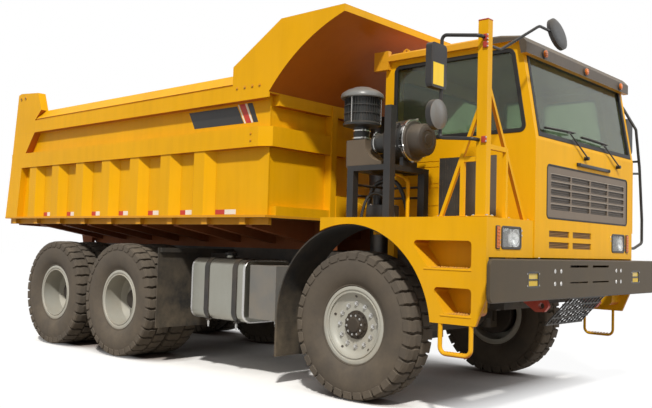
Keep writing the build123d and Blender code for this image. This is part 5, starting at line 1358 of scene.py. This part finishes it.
# %% Door fittings
door_front, door_rear = at(1.225), at(0.330)
hinge_heights = (1.92, 2.33)
bm = bmesh.new()
add_block(bm, (door_rear + 0.060, cab_left, 2.285), (door_rear + 0.230, 1.506, 2.365), 0.012, 3)
add_block(bm, (door_rear + 0.075, 1.506, 2.300), (door_rear + 0.215, 1.5075, 2.350), 0.0, 1, 1)
add_bar(bm, (door_rear + 0.085, 1.530, 2.330), (door_rear + 0.205, 1.530, 2.330), 0.009, 14,
        width=0.003)
for x in (door_rear + 0.090, door_rear + 0.200):
    add_bar(bm, (x, 1.502, 2.330), (x, 1.534, 2.330), 0.007, 12)
lock_x = door_rear + 0.100
add_bar(bm, (lock_x, 1.505, 2.270), (lock_x, 1.513, 2.270), 0.012, 18, width=0.002, index=2)
piece(bm, "door_handle", [black_plastic, black_steel, bright_steel], 35,
      "cab_door")

leaves, posts = bmesh.new(), bmesh.new()
for z in hinge_heights:
    add_block(leaves, (door_front - 0.120, cab_left, z - 0.024),
              (door_front - 0.001, 1.507, z + 0.024), 0.003)
    # the pin stands on the line that the door turns about
    add_bar(posts, (door_front + 0.004, cab_left, z - 0.040),
            (door_front + 0.004, cab_left, z + 0.040), 0.0115, 32, width=0.002)
    add_block(posts, (door_front + 0.010, 1.499, z - 0.024),
              (door_front + 0.080, 1.507, z + 0.024), 0.003)
    for bm, x, y in ((leaves, -0.095, 1.508), (leaves, -0.050, 1.508), (posts, 0.030, 1.507),
                     (posts, 0.062, 1.507)):
        add_bolt(bm, (door_front + x, y, z), LEFT, 0.008, 0.007, 1)
piece(leaves, "door_hinge_leaves", [yellow_paint, bright_steel], 35, "cab_door")
piece(posts, "door_hinge_posts", [yellow_paint, bright_steel], 35)
bm = bmesh.new()
add_block(bm, (door_rear - 0.030, 1.499, 3.208), (at(1.110), 1.520, 3.222), 0.004, 2)
piece(bm, "door_gutter", yellow_paint, 35)

# %% [markdown]
# The drawing has the mirrors' housings. What makes them mirrors is a thin rim
# and a plate of glass set inside it, whose finish reflects as metal does.

# %% Mirrors
bm = bmesh.new()
panels = [  # x of the glass side, y from and to, z from and to
    (at(0.983), -1.735, -1.515, 2.720, 3.090),
    (at(1.290), 1.560, 1.740, 2.510, 2.890),
]
for x, left, right, low, high in panels:
    add_ring(bm, upright(x, (right, left), (low, high)), 0.036, 0.012, 0.003, 0.002, -0.004)
    add_plate(bm, upright(x - 0.0002, (right - 0.014, left + 0.014), (low + 0.014, high - 0.014)),
              0.0015, 1)
# the round mirror under the right one: its glass and its domed back
x, y, z, radius = at(0.995), -1.620, 2.505, 0.125
add_bar(bm, (x - 0.003, y, z), (x + 0.001, y, z), radius - 0.010, 40, index=1)
lathe(bm, [(0.050, 0.0), (0.050, radius - 0.002), (0.056, radius - 0.020),
           (0.068, radius * 0.55), (0.072, 0.0)], (x, y, z), AHEAD, 2, 48)
# the domed back of the mirror over the windscreen
lathe(bm, [(0.031, 0.0), (0.031, 0.144), (0.038, 0.136), (0.052, 0.090), (0.058, 0.0)],
      (at(1.568), -0.620, 3.297), (0.032, 0, 0.009), 0, 48)
piece(bm, "mirror_faces", [black_plastic, mirror_glass, cap_plastic], 35)
bm = bmesh.new()
add_plate(bm, upright(at(1.0432), (-1.712, -1.560), (2.742, 2.925)), 0.0015, 0, 0.0006)
signal_yellow = weathered("signal_yellow", (0.95, 0.66, 0.010), 0.35, 0.12, 0.05)
piece(bm, "mirror_signal_plate", signal_yellow)

# %% [markdown]
# The handrails and the tall post stand on bolted feet, and red clamps sit where
# the mirrors' arms meet the post. Each is a bevelled block with its bolts.

# %% Rail feet and clamps
bm = bmesh.new()
deck = 1.670
feet = [(0.960, -1.450), (1.178, -1.450), (1.366, -0.760), (1.366, -1.095), (0.261, -0.950)]
for x, y in feet:
    add_block(bm, (at(x) - 0.045, y - 0.030, deck), (at(x) + 0.045, y + 0.030, deck + 0.008), 0.003)
    for dx in (-0.030, 0.030):
        add_bolt(bm, (at(x) + dx, y + 0.016, deck + 0.008), UP, 0.007, 0.006, 1)
post = Vector((at(1.366), -1.450, deck))
add_block(bm, post - Vector((0.075, 0.050, 0)), post + Vector((0.075, 0.055, 0.012)), 0.003)
for dx in (-0.060, 0.060):
    for dy in (-0.036, 0.040):
        add_bolt(bm, post + Vector((dx, dy, 0.012)), UP, 0.010, 0.008, 1)
piece(bm, "rail_feet", [yellow_paint, bright_steel], 35)
bm = bmesh.new()
add_block(bm, (at(1.318), -1.488, 3.262), (at(1.414), -1.412, 3.275), 0.004)
for z in (3.120, 3.060, 2.290):
    add_block(bm, (post.x + 0.005, -1.500, z - 0.026), (post.x + 0.050, -1.484, z + 0.026),
              0.004, 2)
    for dz in (-0.016, 0.016):
        add_bolt(bm, (post.x + 0.047, -1.496, z + dz), AHEAD, 0.006, 0.005, 1)
piece(bm, "post_clamps", [hook_paint, bright_steel], 35)

# %% [markdown]
# ## Inside the cab
#
# The driver's seat is soft, so it is modelled as cushions: a block is cut
# into many small faces, its middle is pushed out into a crown and its sides
# are drawn in between the corners. Two sewn channels run along each cushion.
# Under them stands a plain suspension base.

# %% Driver's seat
def model_cushion(bm, low, high, crown, turn):
    """A crowned closed pad between two corners, before it is turned into place."""
    low, high = Vector(low), Vector(high)
    half = (high - low) / 2
    pinch = 0.03  # how far the sides are drawn in
    bmesh.ops.create_cube(bm, size=2)
    bmesh.ops.subdivide_edges(bm, edges=bm.edges[:], cuts=9, use_grid_fill=True)
    for v in bm.verts:
        x, y, z = v.co
        rounder = 1 - 0.06 * (abs(x) ** 6 + abs(y) ** 6) * abs(z)
        bulge = crown * (1 - x ** 4) * (1 - y ** 4) * (1 if z > 0 else -0.3)
        v.co = Vector((x * half.x * rounder * (1 - pinch * (1 - y * y) * abs(x)),
                       y * half.y * rounder * (1 - pinch * (1 - x * x) * abs(y)),
                       z * (half.z - crown) + bulge * abs(z)))
        # the two channels lie in the top
        if z > 0.99:
            v.co.z -= 0.006 * max(0, 1 - abs(abs(y) - 0.55) / 0.09)
    bmesh.ops.transform(bm, matrix=turn @ Matrix.Translation((low + high) / 2), verts=bm.verts)


def cloth_finish(name, colour):
    """Woven cloth: the dusty paint group, with a fine weave for relief."""
    material = weathered(name, colour, 0.88, 0.25, 0.1, gloss=0.15)
    tree = material.node_tree
    place = object_place(tree)
    waves = []
    for direction in ("X", "Y"):
        wave = tree.nodes.new("ShaderNodeTexWave")
        wave.bands_direction = direction
        wave.inputs["Scale"].default_value = 90
        wave.inputs["Distortion"].default_value = 1.5
        tree.links.new(place, wave.inputs["Vector"])
        waves.append(wave.outputs["Fac"])
    relief = next(n for n in tree.nodes if n.type == "BUMP")
    relief.inputs["Strength"].default_value = 0.4
    relief.inputs["Distance"].default_value = 0.001
    tree.links.new(math_node(tree, "MULTIPLY", waves[0], waves[1]), relief.inputs["Height"])
    return material


seat_weave = cloth_finish("seat_weave", (0.045, 0.046, 0.055))
seat_y = 0.960
seat_place = Matrix.Translation((at(0.520), seat_y, box_of("driver_seat")[0].z))
back_turn = (seat_place @ Matrix.Translation((-0.215, 0, 0.450))
             @ Matrix.Rotation(radians(-9), 4, "Y"))
# the pads of the back are made lying down and then stood up
stand = back_turn @ Matrix.Rotation(radians(90), 4, "Y")
pads = [  # name, low and high corner, crown, place
    ("seat_cushion", (-0.262, -0.250, 0.330), (0.262, 0.250, 0.458), 0.030, seat_place),
    ("seat_back", (-0.560, -0.225, -0.045), (-0.010, 0.225, 0.045), 0.016, stand),
    ("seat_head_rest", (-0.672, -0.120, -0.036), (-0.575, 0.120, 0.036), 0.012, stand),
]
for name, low, high, crown, turn in pads:
    bm = bmesh.new()
    model_cushion(bm, low, high, crown, turn)
    pad = piece(bm, name, seat_weave, 60)
    smooth = pad.modifiers.new("smooth", "SUBSURF")
    smooth.levels = smooth.render_levels = 1
    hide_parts("driver_seat")

bm = bmesh.new()
add_block(bm, (-0.165, -0.165, 0), (0.165, 0.165, 0.040), 0.006, turn=seat_place)
# the bellows of the suspension
for number in range(7):
    z = 0.045 + number * 0.036
    half = 0.135 if number % 2 else 0.150
    add_block(bm, (-half, -half, z), (half, half, z + 0.034), 0.010, 2, turn=seat_place)
add_block(bm, (-0.240, -0.230, 0.298), (0.230, 0.230, 0.334), 0.008, 2, turn=seat_place)
for y in (-0.05, 0.05):
    add_bar(bm, back_turn @ Vector((0, y, 0.55)), back_turn @ Vector((0, y, 0.62)), 0.007, 10,
            index=1)
base = piece(bm, "seat_base", [black_plastic, bright_steel], 35)
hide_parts("driver_seat")

# %% [markdown]
# Only a little of the dashboard shows behind the glass, so it gets what the eye
# looks for: the wheel's spokes and hub, a hood with dials and a row of switches.

# %% Dashboard details
bm = bmesh.new()
wheel_middle = Vector((at(0.890), seat_y, 2.450))
wheel_axis = Vector((-0.7, 0, 0.72)).normalized()
across = Vector(LEFT)
for number in range(3):
    angle = tau * (number + 0.25) / 3
    out = across * cos(angle) + wheel_axis.cross(across) * sin(angle)
    add_bar(bm, wheel_middle + out * 0.03 + wheel_axis * 0.016,
            wheel_middle + out * 0.19 + wheel_axis * 0.006, 0.011, 10)
add_bar(bm, wheel_middle, wheel_middle + wheel_axis * 0.026, 0.052, 32, 0.044, 0.005)
add_block(bm, (at(1.130), seat_y - 0.240, 2.352), (at(1.300), seat_y + 0.240, 2.420), 0.022, 3)
for y in (-0.14, -0.05, 0.05, 0.14):
    add_bar(bm, (at(1.128), seat_y + y, 2.386), (at(1.133), seat_y + y, 2.386), 0.024, 28,
            width=0.001, index=1)
for number in range(8):
    y = seat_y - 0.36 - number * 0.045
    add_block(bm, (at(1.112), y, 2.330), (at(1.122), y + 0.026, 2.352), 0.003, 1,
              1 if number % 3 else 0)
piece(bm, "dashboard_parts", [trim_dark, cap_plastic], 35)

# %% [markdown]
# ## Floor, light and camera
#
# The truck stands on a pale floor that fades into a white background. The
# floor keeps the truck's shadow. Only the camera and mirror-like surfaces see
# the white, so the truck itself gets a plain, moderate light.

# %% Floor
def seen_ray(tree):
    """1 for a ray from the camera, off a mirror or through glass, and 0 for any other."""
    ray = tree.nodes.new("ShaderNodeLightPath").outputs
    return math_node(tree, "MAXIMUM", ray["Is Camera Ray"],
                     math_node(tree, "MAXIMUM", ray["Is Glossy Ray"], ray["Is Transmission Ray"]))


def glowing(tree, kind, colour, strength):
    node = tree.nodes.new(kind)
    node.inputs["Color"].default_value = (*colour, 1)
    node.inputs["Strength"].default_value = strength
    return node.outputs[0]


def mix_to_output(tree, kind, factor, first, second):
    """Mixes two shaders by a factor and leads them to a new output."""
    mixer = tree.nodes.new("ShaderNodeMixShader")
    for socket, value in zip(mixer.inputs, (factor, first, second)):
        tree.links.new(value, socket)
    tree.links.new(mixer.outputs[0], tree.nodes.new(kind).inputs["Surface"])


bm = bmesh.new()
bmesh.ops.create_grid(bm, x_segments=1, y_segments=1, size=60)
mesh = bpy.data.meshes.new("floor")
bm.to_mesh(mesh)
bm.free()
floor = bpy.data.objects.new("floor", mesh)
bpy.context.scene.collection.objects.link(floor)
floor_finish = bpy.data.materials.new("floor_finish")
floor_finish.use_nodes = True
tree = floor_finish.node_tree
tree.nodes.clear()
seen = seen_ray(tree)
# right under the truck an ambient occlusion mask darkens the floor: a painted shadow
hidden = tree.nodes.new("ShaderNodeAmbientOcclusion")
hidden.inputs["Distance"].default_value = 1.4
open_sky = map_range(tree, hidden.outputs["AO"], 0.12, 0.55)
ground = mix_colour(tree, open_sky, (0.20, 0.15, 0.13, 1), (1.0, 1.0, 1.0, 1))
matt = tree.nodes.new("ShaderNodeBsdfDiffuse")
tree.links.new(mix_colour(tree, seen, (0.34, 0.30, 0.25, 1), ground), matt.inputs["Color"])
# away from the truck the floor fades into plain white, and the shadow with it
place = separate(tree, object_place(tree))
(rear, right, _), (_, left, _) = cad_bounds
squares = []
for axis, low, high in (("X", rear, at(0.95)), ("Y", right, left)):
    offset = math_node(tree, "SUBTRACT", place[axis], (low + high) / 2)
    offset = math_node(tree, "ABSOLUTE", offset)
    beyond = math_node(tree, "SUBTRACT", offset, (high - low) / 2 - 0.45)
    beyond = math_node(tree, "MAXIMUM", beyond, 0.0)
    squares.append(math_node(tree, "MULTIPLY", beyond, beyond))
away = math_node(tree, "SQRT", math_node(tree, "ADD", *squares))
fade = math_node(tree, "MULTIPLY", map_range(tree, away, 0.0, 0.65, 0.0, 0.94), seen)
glow = glowing(tree, "ShaderNodeEmission", (1, 1, 1), 1.0)
mix_to_output(tree, "ShaderNodeOutputMaterial", fade, matt.outputs[0], glow)
mesh.materials.append(floor_finish)
print("the floor's finish has", len(floor_finish.node_tree.nodes), "nodes")

# %% [markdown]
# One sun gives the shadow with its slightly soft edge, one wide lamp fills the
# shaded side, and a plain sky lights the rest.

# %% World and lamps
scene = bpy.context.scene
scene.view_settings.view_transform = "Standard"
world = bpy.data.worlds.new("sky")
scene.world = world
world.use_nodes = True
tree = world.node_tree
tree.nodes.clear()
soft = glowing(tree, "ShaderNodeBackground", (1.0, 0.97, 0.93), 0.50)
white = glowing(tree, "ShaderNodeBackground", (1, 1, 1), 1.0)
mix_to_output(tree, "ShaderNodeOutputWorld", seen_ray(tree), soft, white)


def lamp(name, kind, towards, strength, size, colour):
    """A lamp that shines on the truck from a direction."""
    data = bpy.data.lights.new(name, kind)
    data.energy = strength
    data.color = colour
    if kind == "SUN":
        data.angle = size
    else:
        data.shape = "DISK"
        data.size = size
    obj = bpy.data.objects.new(name, data)
    scene.collection.objects.link(obj)
    distance, truck_middle = 14, Vector((0, 0, 1.5))
    direction = Vector(towards).normalized()
    obj.matrix_world = Matrix.Translation(direction * distance + truck_middle) @ aim(direction)


lamp("sun", "SUN", (0.50, -0.60, 0.84), 3.45, radians(4), (1.0, 0.97, 0.91))
lamp("fill", "AREA", (0.9, 0.5, 0.5), 300, 9, (0.95, 0.97, 1.0))

# %% [markdown]
# The camera stands low, ahead of the truck and to its right. Its place and its
# three turns are plain numbers, and its matrix is built from them.

# %% Camera
eye = Vector((at(4.659), -6.981, 1.399))
turn, lift, roll = radians(42.02), radians(-3.07), radians(1.63)
back = Vector((sin(turn) * cos(lift), -cos(turn) * cos(lift), sin(lift)))
right = Vector((cos(turn), sin(turn), 0))
up = back.cross(right)
right_rolled = right * cos(roll) + up * sin(roll)
up_rolled = up * cos(roll) - right * sin(roll)
camera_data = bpy.data.cameras.new("camera")
camera_data.sensor_width = 36
camera_data.lens = 43.5
camera = bpy.data.objects.new("camera", camera_data)
scene.collection.objects.link(camera)
camera.matrix_world = Matrix.Translation(eye) @ Matrix(
    (right_rolled, up_rolled, back)).transposed().to_4x4()
scene.camera = camera
print("camera at", [round(c, 3) for c in eye], "lens", camera_data.lens)
